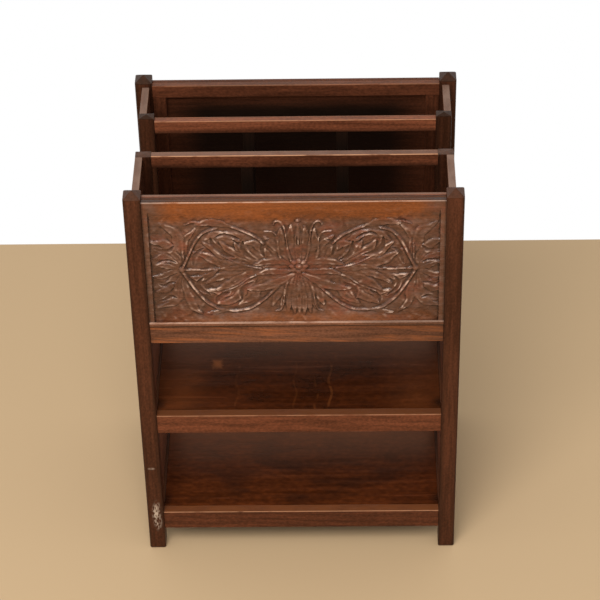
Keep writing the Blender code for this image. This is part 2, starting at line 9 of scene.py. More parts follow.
import math
from typing import NamedTuple

import bpy
import numpy as np
from mathutils import Matrix, Vector


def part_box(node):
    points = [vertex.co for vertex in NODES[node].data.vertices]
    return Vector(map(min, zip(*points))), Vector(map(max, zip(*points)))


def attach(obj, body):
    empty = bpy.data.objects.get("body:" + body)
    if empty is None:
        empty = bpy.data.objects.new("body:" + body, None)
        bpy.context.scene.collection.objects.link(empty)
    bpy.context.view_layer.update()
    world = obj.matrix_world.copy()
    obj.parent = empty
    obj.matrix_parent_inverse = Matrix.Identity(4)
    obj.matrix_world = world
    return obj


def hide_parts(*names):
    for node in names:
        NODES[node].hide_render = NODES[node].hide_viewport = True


bl_info = {
    "name": "Magazine Stand Finish",
    "version": (1, 0, 0),
    "blender": (4, 5, 0),
    "location": "3D View > Sidebar > Stand",
    "description": "Stains, waxes and carves an oak magazine stand",
    "category": "Object",
}

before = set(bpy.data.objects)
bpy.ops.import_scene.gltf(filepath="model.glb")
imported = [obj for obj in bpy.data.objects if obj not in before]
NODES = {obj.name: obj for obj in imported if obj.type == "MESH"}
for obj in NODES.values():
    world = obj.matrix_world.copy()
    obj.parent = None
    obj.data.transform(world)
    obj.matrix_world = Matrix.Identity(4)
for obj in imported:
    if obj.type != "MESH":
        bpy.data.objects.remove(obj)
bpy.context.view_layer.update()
BODY = "root"
MM = 0.001

# The lamp and the camera, in metres, with the camera's pitch, yaw and roll in degrees
LAMP_PLACE = (-0.35, -1.45, 2.15)
LAMP_TARGET = (0, 0, 0.35)
LAMP_WIDTH = 1.3
CAMERA_PLACE = (0.06177, -2.53079, 2.44488)
CAMERA_ANGLES = (39.75, -1.35, -1.33)
CAMERA_LENS = 143.98
SENSOR_WIDTH = 36.0

# Distances from an arris or a top, in metres, over which wear or the darkening near an arris fades
ARRIS_CORE = 0.0004
DARKER_EDGE = (0.0006, 0.0064)
WORN_TOP = (0.006, 0.002)

# Tone of the rails on each level, dust and painted sheen on their tops, and wear of their top
# arrises
RAIL_LEVELS = {
    "magazine": (1.02, 1.0, 0.7), "middle": (0.96, 1.0, 0.5), "bottom": (0.72, 1.0, 0.7),
    "back_divider": (1.14, 0.12, 0.5), "front_divider": (0.82, 0.50, 0.9),
    "back_inner": (0.72, 0.14, 0.22), "front_inner": (0.92, 0.60, 0.2),
}


# Settings

def colour_setting(name, description, default):
    """A colour that a user may change."""
    return bpy.props.FloatVectorProperty(name=name, description=description, default=default,
                                         subtype="COLOR", size=3, min=0, max=1)


def length_setting(name, description, default):
    """A length in metres that a user may change."""
    return bpy.props.FloatProperty(
        name=name, description=description, default=default, unit="LENGTH", precision=4)


def share_setting(name, description, default):
    """A plain number that a user may change."""
    return bpy.props.FloatProperty(name=name, description=description, default=default, min=0)


class StandColours(bpy.types.PropertyGroup):
    """Colours of the stained oak, of what has settled on it, and of the painted light and shade on
    it.
    """

    post: colour_setting("Post", "Body colour of the posts", (0.054, 0.0168, 0.0075))
    rail: colour_setting("Rail", "Body colour of the rails", (0.122, 0.0360, 0.0155))
    band: colour_setting("Panel", "Plain wood of the carved panel", (0.196, 0.0535, 0.0135))
    carved: colour_setting("Carving", "Body colour of the carved wood", (0.110, 0.0430, 0.0220))
    shelf: colour_setting("Shelf", "Body colour of the shelf boards", (0.041, 0.0092, 0.0021))
    worn: colour_setting("Worn", "Bare wood on rubbed edges", (0.500, 0.250, 0.130))
    # Dust, and painted sheen where the tops reflect the bright room
    bloom: colour_setting("Bloom", "Faded wax and dust on what faces up", (0.200, 0.125, 0.092))
    # Painted sheen and light at the shelves' open backs and ends; also the magazine rail's golden
    # streaks and rubbed arrises
    faded: colour_setting("Faded", "Shelf wax gone pale near the back", (0.420, 0.1250, 0.0370))
    marked: colour_setting("Marked", "Bare wood in the shelf's marks", (0.500, 0.145, 0.0330))
    scuffed: colour_setting("Scuffed", "Scraped wood, front left post", (0.620, 0.480, 0.360))
    polish: colour_setting("Polish", "Polished tops of the rails", (0.150, 0.0450, 0.0130))
    gloss: colour_setting("Gloss", "Tint of what the old wax reflects", (1.0, 0.62, 0.42))
    amber: colour_setting("Amber", "Tint of what shelf wax reflects", (1.0, 0.30, 0.05))
    # Painted highlights, over rubbed wood, on the carving's ridges, the panel's top arris and the
    # bead
    glint: colour_setting("Glint", "Rubbed ridges of the carving", (0.560, 0.370, 0.270))
    # Dirt, and painted shade in corners, recesses and under things
    grime: colour_setting("Grime", "Old polish and dirt in corners", (0.006, 0.0035, 0.0024))
    dulled: colour_setting("Dulled", "Greyish wax patches on the carving", (0.145, 0.0740, 0.0500))
    rosy: colour_setting("Rosy", "Red stain left round the rosette", (0.170, 0.0460, 0.0230))
    floor: colour_setting("Floor", "Plain pale floor", (0.500, 0.345, 0.190))


class OakSizes(bpy.types.PropertyGroup):
    """Sizes of the oak's figure, of its wear and of the painted shade in the shelves' corners."""

    ring_spacing: length_setting("Ring spacing", "Distance between growth rings", 0.0085)
    wear_width: length_setting("Wear width", "Width of a rubbed arris", 0.0013)
    # Reach of the painted shade in the shelves' front corners
    corner_shade_reach: length_setting("Grime reach", "Reach of the dirt in a shelf corner", 0.020)
    grain_depth: length_setting("Grain depth", "Depth of the open grain", 0.00025)


class CarvingSizes(bpy.types.PropertyGroup):
    """Sizes of the carved panel."""

    grid_step: length_setting("Grid step", "Distance between carved points", 0.00092)
    ground_depth: length_setting("Ground depth", "Depth of the ground under the face", 0.0038)
    punch_depth: length_setting("Punch depth", "Depth of the marks punched in the ground", 0.00022)
    middle_x: length_setting("Middle X", "The ornament's middle, to the right", 0.0045)
    middle_z: length_setting("Middle Z", "Height of the ornament's middle", 0.5020)
    edge_strip: length_setting("Edge strip", "Plain strip at the panel's ends", 0.0065)


class StageSizes(bpy.types.PropertyGroup):
    """Sizes of the floor, and strengths of the light."""

    floor_back: length_setting("Floor back", "Where the floor ends behind the stand", 0.557)
    floor_reach: length_setting("Floor reach", "How far the floor goes to the other sides", 6.0)
    sky: share_setting("Sky", "Even light from all round", 0.72)
    lamp_power: share_setting("Lamp power", "Power of the large lamp, in watts", 46.0)


# Node trees

GRAIN_ORDER = {"X": (0, 1, 2), "Y": (1, 0, 2), "Z": (2, 0, 1)}
OAK_INPUTS = {
    "Vector": ("Place",),
    "Color": ("Deep", "Body", "Light", "Worn", "Bloom Colour", "Grime Colour"),
    "Float": ("Figure", "Wear", "Bloom", "Grime", "Roughness"),
}
OAK_OUTPUTS = {"Color": ("Colour",), "Float": ("Roughness", "Height")}
RING_LEAN = 0.6
RING_WARP = 26.0


def rgba(colour, tone=1.0):
    """A colour as four numbers, made lighter or darker by tone."""
    return (*[channel * tone for channel in colour], 1.0)


def new_material(name):
    """A material that uses nodes."""
    material = bpy.data.materials.new(name)
    material.use_nodes = True
    return material


class Recipe:
    """Empties a node tree and writes it anew: each call adds nodes and gives back an output."""

    def __init__(self, tree):
        self.tree = tree
        tree.nodes.clear()

    def node(self, kind, inputs=None, **settings):
        """Add a node, set it up and feed its inputs with numbers or other outputs."""
        made = self.tree.nodes.new(kind)
        for key, value in settings.items():
            setattr(made, key, value)
        for key, value in (inputs or {}).items():
            if isinstance(value, bpy.types.NodeSocket):
                self.tree.links.new(value, made.inputs[key])
            else:
                made.inputs[key].default_value = value
        return made

    def calc(self, operation, *values, clamp=False):
        """A sum on numbers."""
        return self.node("ShaderNodeMath", dict(enumerate(values)),
                         operation=operation, use_clamp=clamp).outputs[0]

    def times(self, first, *others):
        """The product of numbers."""
        for other in others:
            first = self.calc("MULTIPLY", first, other)
        return first

    def most(self, first, *others):
        """The largest of numbers."""
        for other in others:
            first = self.calc("MAXIMUM", first, other)
        return first

    def off(self, value, middle):
        """How far a number lies from a middle, on either side."""
        return self.calc("ABSOLUTE", self.calc("SUBTRACT", value, middle))

    def swing(self, cloud, gain, base):
        """A noise, whose own middle is 0.5, swinging round a base."""
        return self.calc("MULTIPLY_ADD", self.calc("SUBTRACT", cloud, 0.5), gain, base)

    def fade(self, value, start, end, low=0.0, high=1.0):
        """Low at start and high at end, with a smooth step between."""
        inputs = {"Value": value, "From Min": start, "From Max": end,
                  "To Min": low, "To Max": high}
        return self.node("ShaderNodeMapRange", inputs, interpolation_type="SMOOTHSTEP").outputs[0]

    def vector(self, operation, inputs):
        """A sum on vectors: its outputs are a vector and a number."""
        return self.node("ShaderNodeVectorMath", inputs, operation=operation).outputs

    def gap(self, first, second):
        """How far apart two places are."""
        return self.vector("DISTANCE", {0: first, 1: second})["Value"]

    def noise(self, place, stretch, detail):
        """Cloudy noise, with so many changes to the metre along each axis."""
        scaled = self.vector("MULTIPLY", {0: place, 1: stretch})[0]
        inputs = {"Vector": scaled, "Scale": 1.0, "Detail": detail}
        return self.node("ShaderNodeTexNoise", inputs).outputs["Fac"]

    def mix(self, share, first, second, how="MIX"):
        """Two colours mixed by share."""
        return self.node("ShaderNodeMix", {0: share, 6: first, 7: second},
                         data_type="RGBA", blend_type=how).outputs[2]

    def split(self, vector):
        """The three parts of a vector."""
        return self.node("ShaderNodeSeparateXYZ", {0: vector}).outputs

    def join(self, *parts):
        """A vector from three parts."""
        return self.node("ShaderNodeCombineXYZ", dict(enumerate(parts))).outputs[0]


class OakRecipe(Recipe):
    """The recipe of an oak material. It knows each point's place on the object, as a vector and
    as x, y and z, how far aside of the middle it lies, and how its surface faces."""

    def __init__(self, tree):
        super().__init__(tree)
        self.place = self.node("ShaderNodeTexCoord").outputs["Object"]
        self.parts = self.split(self.place)
        self.x, self.y, self.z = self.parts
        self.aside = self.calc("ABSOLUTE", self.x)
        self.facing = self.split(self.node("ShaderNodeNewGeometry").outputs["Normal"])

    def along_grain(self, grain, shift):
        """The place with the grain turned to X, and shifted so that pieces differ."""
        turned = self.join(*[self.parts[axis] for axis in GRAIN_ORDER[grain]])
        return self.vector("ADD", {0: turned, 1: (shift * 1.37, shift * 0.61, shift * 0.23)})[0]

    def from_arris(self, box, grain):
        """Distance to the nearest long arris: on a box, the larger of the depths under its
        sides."""
        depths = []
        for axis in GRAIN_ORDER[grain][1:]:
            middle = (box[0][axis] + box[1][axis]) / 2
            half = (box[1][axis] - box[0][axis]) / 2
            depths.append(self.calc("SUBTRACT", half, self.off(self.parts[axis], middle)))
        return self.most(*depths)

    def wax(self, stain, relief, strength, gloss, tint):
        """Stained wood under wax: a Principled surface, bumped by relief."""
        depth = bpy.context.scene.stand_oak.grain_depth
        bump = self.node("ShaderNodeBump",
                         {"Height": relief, "Strength": strength, "Distance": depth})
        surface = self.node("ShaderNodeBsdfPrincipled", {
            "Base Color": stain["Colour"], "Roughness": stain["Roughness"],
            "Normal": bump.outputs[0], "IOR": 1.5, "Specular IOR Level": gloss,
            "Specular Tint": tint})
        self.node("ShaderNodeOutputMaterial", {"Surface": surface.outputs[0]})


def oak_group(sizes):
    """Stained oak. Rings are a sine of the place across the grain, bent by noise. Streaks and
    pores are noise drawn out along the grain. Wear, dust with painted sheen, and dirt with
    painted shade lie on top."""
    tree = bpy.data.node_groups.new("stained_oak", "ShaderNodeTree")
    for way, sockets in (("INPUT", OAK_INPUTS), ("OUTPUT", OAK_OUTPUTS)):
        for kind, names in sockets.items():
            for name in names:
                tree.interface.new_socket(name, in_out=way, socket_type="NodeSocket" + kind)
    oak = Recipe(tree)
    given = oak.node("NodeGroupInput").outputs
    place = given["Place"]
    _, across, through = oak.split(place)

    drift = oak.noise(place, (5.0, 16.0, 16.0), 3.0)
    warp = oak.noise(place, (4.0, 20.0, 20.0), 2.0)
    streak = oak.noise(place, (16.0, 320.0, 320.0), 3.0)
    mottle = oak.noise(place, (260.0, 420.0, 420.0), 3.0)
    pores = oak.fade(oak.noise(place, (70.0, 1500.0, 1500.0), 1.0), 0.56, 0.74)
    depth = oak.calc("MULTIPLY_ADD", through, RING_LEAN, across)
    turns = oak.times(depth, 2 * math.pi / sizes.ring_spacing)
    rings = oak.calc("SINE", oak.calc("MULTIPLY_ADD", warp, RING_WARP, turns))
    rings = oak.calc("POWER", oak.calc("MULTIPLY_ADD", rings, 0.5, 0.5), 2.0)

    tone = oak.swing(drift, 1.5, 0.52)
    tone = oak.swing(streak, 1.4, tone)
    tone = oak.swing(mottle, 1.7, tone)
    tone = oak.calc("MULTIPLY_ADD", oak.calc("SUBTRACT", 0.35, rings), given["Figure"], tone)
    low = oak.calc("MULTIPLY", tone, 2.0, clamp=True)
    high = oak.calc("MULTIPLY_ADD", tone, 2.0, -1.0, clamp=True)
    colour = oak.mix(high, oak.mix(low, given["Deep"], given["Body"]), given["Light"])
    colour = oak.mix(oak.times(pores, 0.45), colour, given["Deep"])

    rubbed = oak.fade(oak.noise(place, (45.0, 90.0, 90.0), 3.0), 0.28, 0.52, 0.25, 1.0)
    wear = oak.calc("MULTIPLY", given["Wear"], rubbed, clamp=True)
    colour = oak.mix(wear, colour, given["Worn"])
    # Dust and painted sheen on what faces up, then dirt and painted shade, over the stain
    patchy = oak.fade(oak.noise(place, (30.0, 60.0, 60.0), 3.0), 0.25, 0.65, 0.55, 1.0)
    bloom = oak.calc("MULTIPLY", given["Bloom"], patchy, clamp=True)
    colour = oak.mix(bloom, colour, given["Bloom Colour"])
    colour = oak.mix(given["Grime"], colour, given["Grime Colour"])

    rough = oak.swing(drift, 0.30, given["Roughness"])
    rough = oak.swing(streak, 0.20, rough)
    rough = oak.calc("MULTIPLY_ADD", wear, 0.12, rough)
    rough = oak.calc("MULTIPLY_ADD", bloom, 0.15, rough)
    height = oak.calc("MULTIPLY_ADD", streak, 0.5, oak.times(pores, -0.8))
    height = oak.calc("MULTIPLY_ADD", rings, -0.15, height)
    oak.node("NodeGroupOutput", {"Colour": colour, "Roughness": rough, "Height": height})


class Finish(NamedTuple):
    """How one kind of oak piece is finished. Its colours are names of the colour settings."""

    colour: str
    tint: str = "gloss"
    worn: str = "worn"
    top_colour: str = "bloom"
    figure: float = 0.15
    figure_size: float = 1.0
    contrast: float = 0.42
    relief: float = 0.5
    wear: float = 0.0
    top_wear: float = 0.0
    edge_darkening: float = 0.0
    bloom: float = 0.0
    roughness: float = 0.40
    gloss: float = 0.22


def oak_material(name, finish, grain, box, shift, tone=1.0, grime=None, extra=None, faded=None):
    """Stained oak for one piece, with its grain along an axis and its arrises rubbed.

    The last three are functions that get the recipe. They give where dirt and painted shade
    lie, where the surface is rubbed bare and where painted sheen lies on a top, all from 0 to 1.
    """
    settings = bpy.context.scene
    colours, sizes = settings.stand_colours, settings.stand_oak
    material = new_material(name)
    oak = OakRecipe(material.node_tree)

    edge = oak.from_arris(box, grain)
    # Darker near the long arrises, then the piece's own dirt and painted shade
    darkening = oak.fade(edge, *DARKER_EDGE, finish.edge_darkening, 0.0)
    if grime is not None:
        darkening = oak.most(darkening, grime(oak))
    near_top = oak.fade(oak.z, *[box[1].z - below for below in WORN_TOP])
    wear = oak.calc("MULTIPLY_ADD", near_top, finish.top_wear, finish.wear)
    wear = oak.times(wear, oak.fade(edge, ARRIS_CORE, sizes.wear_width, 1.0, 0.0))
    if extra is not None:
        wear = oak.most(wear, extra(oak))
    # Dust and painted sheen on what faces up and not to the front: the sheen stands in for the
    # bright room that the tops reflect
    upward, backward = oak.facing[2], oak.facing[1]
    bloom = oak.times(oak.fade(upward, 0.35, 0.75), oak.fade(backward, -0.45, -0.15),
                      finish.bloom)
    if faded is not None:
        bloom = oak.times(bloom, faded(oak))

    base = getattr(colours, finish.colour)
    scaled = {0: oak.along_grain(grain, shift), "Scale": 1 / finish.figure_size}
    stain = oak.node("ShaderNodeGroup", {
        "Place": oak.vector("SCALE", scaled)[0],
        "Deep": rgba(base, (1 - finish.contrast) * tone), "Body": rgba(base, tone),
        "Light": rgba(base, (1 + 1.3 * finish.contrast) * tone),
        "Worn": rgba(getattr(colours, finish.worn)),
        "Bloom Colour": rgba(getattr(colours, finish.top_colour)),
        "Grime Colour": rgba(colours.grime), "Figure": finish.figure, "Wear": wear,
        "Bloom": bloom, "Grime": darkening, "Roughness": finish.roughness,
    }, node_tree=bpy.data.node_groups["stained_oak"]).outputs
    tint = rgba(getattr(colours, finish.tint))
    oak.wax(stain, stain["Height"], finish.relief, finish.gloss, tint)
    return material


def dress(node_name, finish, grain, **details):
    """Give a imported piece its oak."""
    node = NODES[node_name]
    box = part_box(node_name)
    shift = 0.37 * (1 + sorted(NODES).index(node_name))
    material = oak_material(node_name + "_oak", finish, grain, box, shift, **details)
    node.data.materials.clear()
    node.data.materials.append(material)


def painted_bay_shade(oak):
    """Painted shade on what faces inward in the bays: darkest low down and in the middle, and
    lighter at the bays' ends, where light comes in from the sides."""
    inner_x = -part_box("front_left_side_board")[1].x
    inner_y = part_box("back_panel")[0].y
    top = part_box("back_panel")[1].z
    within_x = oak.fade(oak.aside, inner_x + 0.001, inner_x + 0.002, 1.0, 0.0)
    within_y = oak.fade(oak.calc("ABSOLUTE", oak.y), inner_y + 0.001, inner_y + 0.002, 1.0, 0.0)
    below_top = oak.fade(oak.z, top - 0.004, top - 0.012)
    middle = oak.fade(oak.aside, inner_x - 0.075, inner_x - 0.010, 0.985, 0.30)
    low_down = oak.fade(oak.z, top - 0.022, top - 0.050, 0.30, 1.0)
    return oak.times(within_x, within_y, middle, low_down, below_top)


def shade_to_right(oak):
    """Painted shade: how much darker the front's lower part gets towards the right."""
    return oak.fade(oak.x, 0.050, 0.115, 0.0, 0.20)


# Surfaces from arrays

SHARP_ANGLE = math.radians(50)


def new_piece(name, points, faces, material, attributes):
    """A mesh piece from arrays of points and faces, smooth but for its sharp edges, with values
    at its points that its material reads."""
    mesh = bpy.data.meshes.new(name)
    mesh.from_pydata(points.tolist(), [], faces)
    mesh.update()
    for label, values in attributes.items():
        layer = mesh.attributes.new(label, "FLOAT", "POINT")
        layer.data.foreach_set("value", np.ascontiguousarray(values, dtype=np.float32))
    mesh.shade_smooth()
    mesh.set_sharp_from_angle(angle=SHARP_ANGLE)
    mesh.materials.append(material)
    piece = bpy.data.objects.new(name, mesh)
    bpy.context.scene.collection.objects.link(piece)
    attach(piece, BODY)
    return piece


def tube_faces(rings, ring_size):
    """Faces of a closed tube of rings: four-sided between rings, and one face at each end.
    Point j of ring i has the number i * ring_size + j."""
    i, j = np.meshgrid(np.arange(rings - 1), np.arange(ring_size), indexing="ij")
    after = (j + 1) % ring_size
    quads = np.stack([i * ring_size + j, i * ring_size + after,
                      (i + 1) * ring_size + after, (i + 1) * ring_size + j], axis=-1)
    first = list(range(ring_size))[::-1]
    last = [(rings - 1) * ring_size + k for k in range(ring_size)]
    return quads.reshape(-1, 4).tolist() + [first, last]


# Carving, drawn in millimetres from the ornament's middle; u goes out to either side, v up.
# A stem, rib or curl is a line. A leaf or hollow is a line and its width.

UPPER_STEM = [(149, 4), (144, 16), (138, 31), (131, 47), (122, 59.5), (112, 65.5), (103, 68)]
CREST_STEM = [(102, 76), (88, 71.5), (74, 65.5), (61, 58.5), (51, 50.5), (44, 42)]
LOWER_STEM = [(149, -4), (142, -18), (134, -33), (125, -47), (114, -58.5), (101, -66), (85, -68),
              (70, -66), (58, -60), (46, -50), (34, -36.5), (21, -22), (8, -8)]
AXIS_STEM = [(150, 1), (128, 1), (104, 1)]
TIP_STEM = [(124, 78), (134, 78), (144, 74)]
PIN_STEM = [(0, 42), (0, 60), (0, 74)]
RIBS = [
    [(48, -6), (64, -13.5), (79, -26), (99, -36)],
    [(48, 2), (64, 6), (79, 12), (98, 24)],
    [(146, 10), (148, 26), (147, 42)],
]
HOLLOWS = [
    ([(55, 17), (64, 24), (69, 34), (69, 47)], 7.0),
    ([(84, 22), (97, 29), (106, 39), (110, 53)], 7.0),
    ([(74, 52), (84, 57), (95, 58), (104, 52)], 5.0),
    ([(58, -22), (68, -28), (74, -36), (75, -48)], 7.0),
    ([(92, -36), (101, -41), (106, -48), (106, -56)], 6.0),
    ([(120, 36), (128, 30), (134, 20), (136, 8)], 5.0),
    ([(122, -12), (128, -20), (126, -32), (116, -44)], 6.0),
    ([(36, 50), (42, 44), (46, 34), (45, 22)], 5.0),
    ([(158, 38), (166, 32), (176, 32), (184, 37)], 5.0),
    ([(160, 12), (168, 15), (176, 14), (184, 10)], 4.0),
    ([(158, -22), (166, -22), (174, -26), (182, -22)], 5.0),
    ([(160, -46), (168, -44), (176, -50), (184, -52)], 5.0),
]
CURLS = [
    [(18, 8), (24, 22), (26, 38), (26.5, 52), (32, 61.5), (43, 63)],
    [(9, 12), (13, 30), (15, 50), (17, 66), (22, 77), (28, 78.5), (31, 73)],
    [(13, -14), (18, -34), (20, -52), (24, -66), (31, -69)],
]
CREST_LEAF = ([(86, 71), (100, 75.5), (114, 77.5), (130, 74)], 6.0)
FOOT_LEAF = ([(92, -67.5), (106, -70), (122, -72)], 2.6)
BRACT = ([(103, -2), (113, -9), (125, -13), (140, -11)], 4.4)
ACANTHUS = [
    ([(58, 36), (66, 47), (78, 56), (94, 62)], 6.5),
    ([(80, 44), (94, 54), (106, 57), (117, 50)], 6.0),
    ([(36, 20), (44, 32), (54, 41), (68, 44)], 5.5),
    ([(62, -14), (80, -28), (98, -38), (119, -34)], 7.0),
    ([(54, -16), (70, -34), (86, -48), (106, -55)], 7.5),
    ([(46, -20), (56, -34), (64, -46), (78, -58)], 6.5),
    ([(44, 7), (54, 13), (61, 21), (64, 33)], 5.5),
    ([(46, 4), (62, 16), (73, 30), (80, 45)], 7.0),
    ([(48, 3), (70, 15), (86, 29), (98, 46)], 7.5),
    ([(50, 2), (76, 13), (100, 27), (120, 46)], 8.0),
    ([(52, 1), (82, 7), (110, 16), (135, 31)], 7.5),
    ([(52, -1), (76, -4), (96, -10), (118, -21)], 6.0),
    ([(48, -3), (68, -9), (86, -21), (108, -33)], 7.0),
    ([(44, 1), (66, 2), (86, 3), (106, 2)], 4.0),
]
ROOT_LEAVES = [
    ([(6, -8), (24, -19), (42, -28), (66, -32)], 7.0),
    ([(8, 7), (24, 13), (40, 13), (58, 8)], 5.5),
    ([(8, -2), (22, -4), (38, -3), (54, -7)], 5.0),
]
MIDDLE_LEAVES = [
    ([(14, 12), (22, 28), (31, 42), (44, 54)], 6.0),
    ([(8, 10), (14, 28), (20, 46), (23, 66)], 6.5),
    ([(2, 9), (6, 28), (10, 48), (9, 72)], 5.5),
    ([(0, 8), (0, 28), (0, 44), (0, 66)], 4.5),
    ([(13, -12), (24, -28), (29, -44), (33, -60)], 6.0),
    ([(9, -12), (16, -30), (19, -48), (21, -66)], 4.6),
    ([(6, -12), (10, -32), (13, -52), (13, -72)], 4.0),
    ([(3, -12), (5, -34), (7, -54), (6, -76)], 3.6),
    ([(0, -12), (0, -32), (0, -54), (0, -75)], 3.2),
]
KNOT_FAN = [
    ([(148, 8), (145, 30), (143, 52), (132, 70)], 4.6),
    ([(150, 8), (150, 34), (157, 61), (178, 75)], 7.0),
    ([(152, 6), (159, 26), (170, 43), (186, 47)], 7.0),
    ([(153, 3), (164, 13), (174, 22), (187, 20)], 5.6),
    ([(152, 1), (162, 3), (172, 6), (184, 10)], 3.6),
    ([(153, -1), (164, -5), (175, -9), (187, -8)], 4.6),
    ([(152, -4), (161, -18), (172, -31), (187, -34)], 6.6),
    ([(150, -7), (155, -32), (164, -54), (182, -62)], 7.2),
    ([(148, -8), (146, -32), (141, -55), (126, -73)], 5.0),
]
PIN = (0.5, 79.5, 2.6)
KNOT = (150, 1, 4.0)
UPPER_BORDER = [(0, 96), (28, 97), (46, 94), (62, 92), (80, 92), (98, 93), (120, 95),
                (140, 96), (190, 97)]
LOWER_BORDER = [(0, -88), (24, -87), (42, -81), (60, -78), (78, -80), (100, -82), (124, -86),
                (142, -92), (160, -96), (190, -96)]
ROSETTE_RADIUS = 13
ROSETTE_RISE = 5.5
ROSETTE_PETALS = 8

# The groove round the long stems, and the number of steps that a drawn span is cut into
DEEP_GROOVE = {"cut": 0.85, "reach": 2.6}
SPAN_STEPS = 14

# The panel, in metres: its round top, the tongue at its ends, and how far a point lies below or
# above the points round about where a hollow or a ridge is full
ROUND_TOP = 0.0016
TONGUE_SIDE = 0.0015
TONGUE_FOOT = 0.0037
TONGUE_TOP = 0.010
FULL_BEND = 0.46 * MM


def smooth(values, low, high):
    """A smooth step from 0 at low to 1 at high."""
    share = np.clip((values - low) / (high - low), 0, 1)
    return share * share * (3 - 2 * share)


def spread(values, times):
    """Each value evened with its four neighbours, so many times."""
    for _ in range(times):
        padded = np.pad(values, 1, mode="edge")
        values = (padded[:-2, 1:-1] + padded[2:, 1:-1] + padded[1:-1, :-2] + padded[1:-1, 2:]) / 4
    return values


def flowing(points):
    """A smooth line through points: on each span a cubic whose ends lean as their neighbours
    do."""
    dots = np.array(points, float)
    padded = np.vstack([2 * dots[0] - dots[1], dots, 2 * dots[-1] - dots[-2]])
    before, start, end, after = (padded[k:len(padded) - 3 + k, None, :] for k in range(4))
    t = np.linspace(0, 1, SPAN_STEPS, endpoint=False)[None, :, None]
    curve = 0.5 * (2 * start + (end - before) * t
                   + (2 * before - 5 * start + 4 * end - after) * t ** 2
                   + (3 * start - before - 3 * end + after) * t ** 3)
    return np.vstack([curve.reshape(-1, 2), dots[-1:]])


def beside(line, u, v):
    """For each point, how far along a line its nearest spot lies, from 0 to 1, and how far away
    that spot is."""
    starts, steps = line[:-1], np.diff(line, axis=0)
    lengths = np.hypot(*steps.T)
    travelled = np.concatenate([[0], np.cumsum(lengths)])
    du = u[:, None] - starts[None, :, 0]
    dv = v[:, None] - starts[None, :, 1]
    share = np.clip((du * steps[:, 0] + dv * steps[:, 1]) / lengths ** 2, 0, 1)
    gap = np.hypot(du - share * steps[:, 0], dv - share * steps[:, 1])
    nearest = gap.argmin(axis=1)
    rows = np.arange(len(u))
    along = (travelled[nearest] + share[rows, nearest] * lengths[nearest]) / travelled[-1]
    return along, gap[rows, nearest]


def follow(points, margin, u, v):
    """Which points lie in the box of a smooth line, grown by a margin. For each of them, how far
    along the line its nearest spot lies, and how far away that spot is."""
    line = flowing(points)
    low, high = line.min(axis=0) - margin, line.max(axis=0) + margin
    close = (u > low[0]) & (u < high[0]) & (v > low[1]) & (v < high[1])
    return (close, *beside(line, u[close], v[close]))


def lay(relief, close, share, height, gap, cut=0.45, reach=0.9):
    """Lay a shape over what is carved already, with a groove cut round it. share is 1 at its
    edge, and gap is how far a point is from that edge."""
    below = relief[close]
    groove = cut * np.exp(-(gap / reach) ** 2)
    relief[close] = np.where(share < 1, np.maximum(height, 0.3 * below), below * (1 - groove))


def raise_stem(relief, u, v, points, width, top=1.0, **groove):
    """A round stem: its height is half a circle across its width, which narrows to its end."""
    close, along, off = follow(points, 3 * width, u, v)
    half = width / 2 * (1 - 0.3 * along)
    share = off / half
    height = top * np.sqrt(np.clip(1 - share ** 2, 0, 1))
    lay(relief, close, share, height, off - half, **groove)


def raise_leaf(relief, u, v, points, width, top):
    """A pointed leaf, hollow from its rim down to its midrib. Its half width is a sine along it,
    drawn towards the root and a little scalloped, and it rises to a curled tip."""
    close, along, off = follow(points, 2 * width, u, v)
    swell = np.sin(np.pi * np.clip(0.06 + 0.92 * along, 0, 1) ** 1.1) ** 0.8
    half = width * swell * (1 + 0.10 * np.cos(2 * np.pi * 4 * along)) + 0.3
    share = off / half
    rim = np.sqrt(np.clip(1 - share ** 3, 0, 1))
    dish = 0.34 + 0.66 * np.clip(share, 0, 1) ** 1.4
    midrib = 0.26 * np.exp(-(off / 0.8) ** 2) * (1 - along)
    rise = 0.60 + 0.40 * smooth(along, 0.1, 0.9)
    curl = 0.25 * smooth(along, 0.72, 0.92)
    height = top * rise * np.clip(rim * (dish + curl) + midrib, 0, 1.05)
    lay(relief, close, share, height, off - half)


def cut_hollow(relief, u, v, points, width):
    """A curved cut of the gouge, widest in its middle, with a lip thrown up along its edges."""
    close, along, off = follow(points, 2 * width, u, v)
    half = width / 2 * np.sin(np.pi * np.clip(0.08 + 0.88 * along, 0, 1)) ** 0.7
    floor = 0.90 * np.exp(-(off / half) ** 4)
    lip = 0.24 * np.exp(-((off - 1.35 * half) / 1.1) ** 2)
    relief[close] = relief[close] * (1 - floor) + lip * (1 - floor)


def raise_knob(relief, u, v, middle_u, middle_v, radius):
    """A round knob: half a ball on the ground."""
    far = np.hypot(u - middle_u, v - middle_v) / radius
    relief[:] = np.maximum(relief, np.sqrt(np.clip(1 - far ** 2, 0, 1)))


def raise_rosette(relief, u, v, radius):
    """A rosette: petals are a cosine of the angle on a dome, round a button in the middle."""
    far = np.hypot(u, v)
    turn = np.arctan2(v, u)
    edge = radius * (0.80 + 0.20 * np.abs(np.cos(ROSETTE_PETALS / 2 * turn)))
    share = far / edge
    petal = 0.70 + 0.30 * np.abs(np.cos(ROSETTE_PETALS / 2 * turn))
    dome = np.where(share < 1, np.sqrt(np.clip(1 - share ** 3, 0, 1)) * petal, 0)
    button = np.sqrt(np.clip(1 - (far / (radius * 0.30)) ** 2, 0, 1)) * 1.1
    ring = np.where(np.abs(far - radius * 0.38) < 1.2, 0.60, 1.0)
    relief[:] = np.where(share < 1, np.maximum(dome * ring, button), relief)


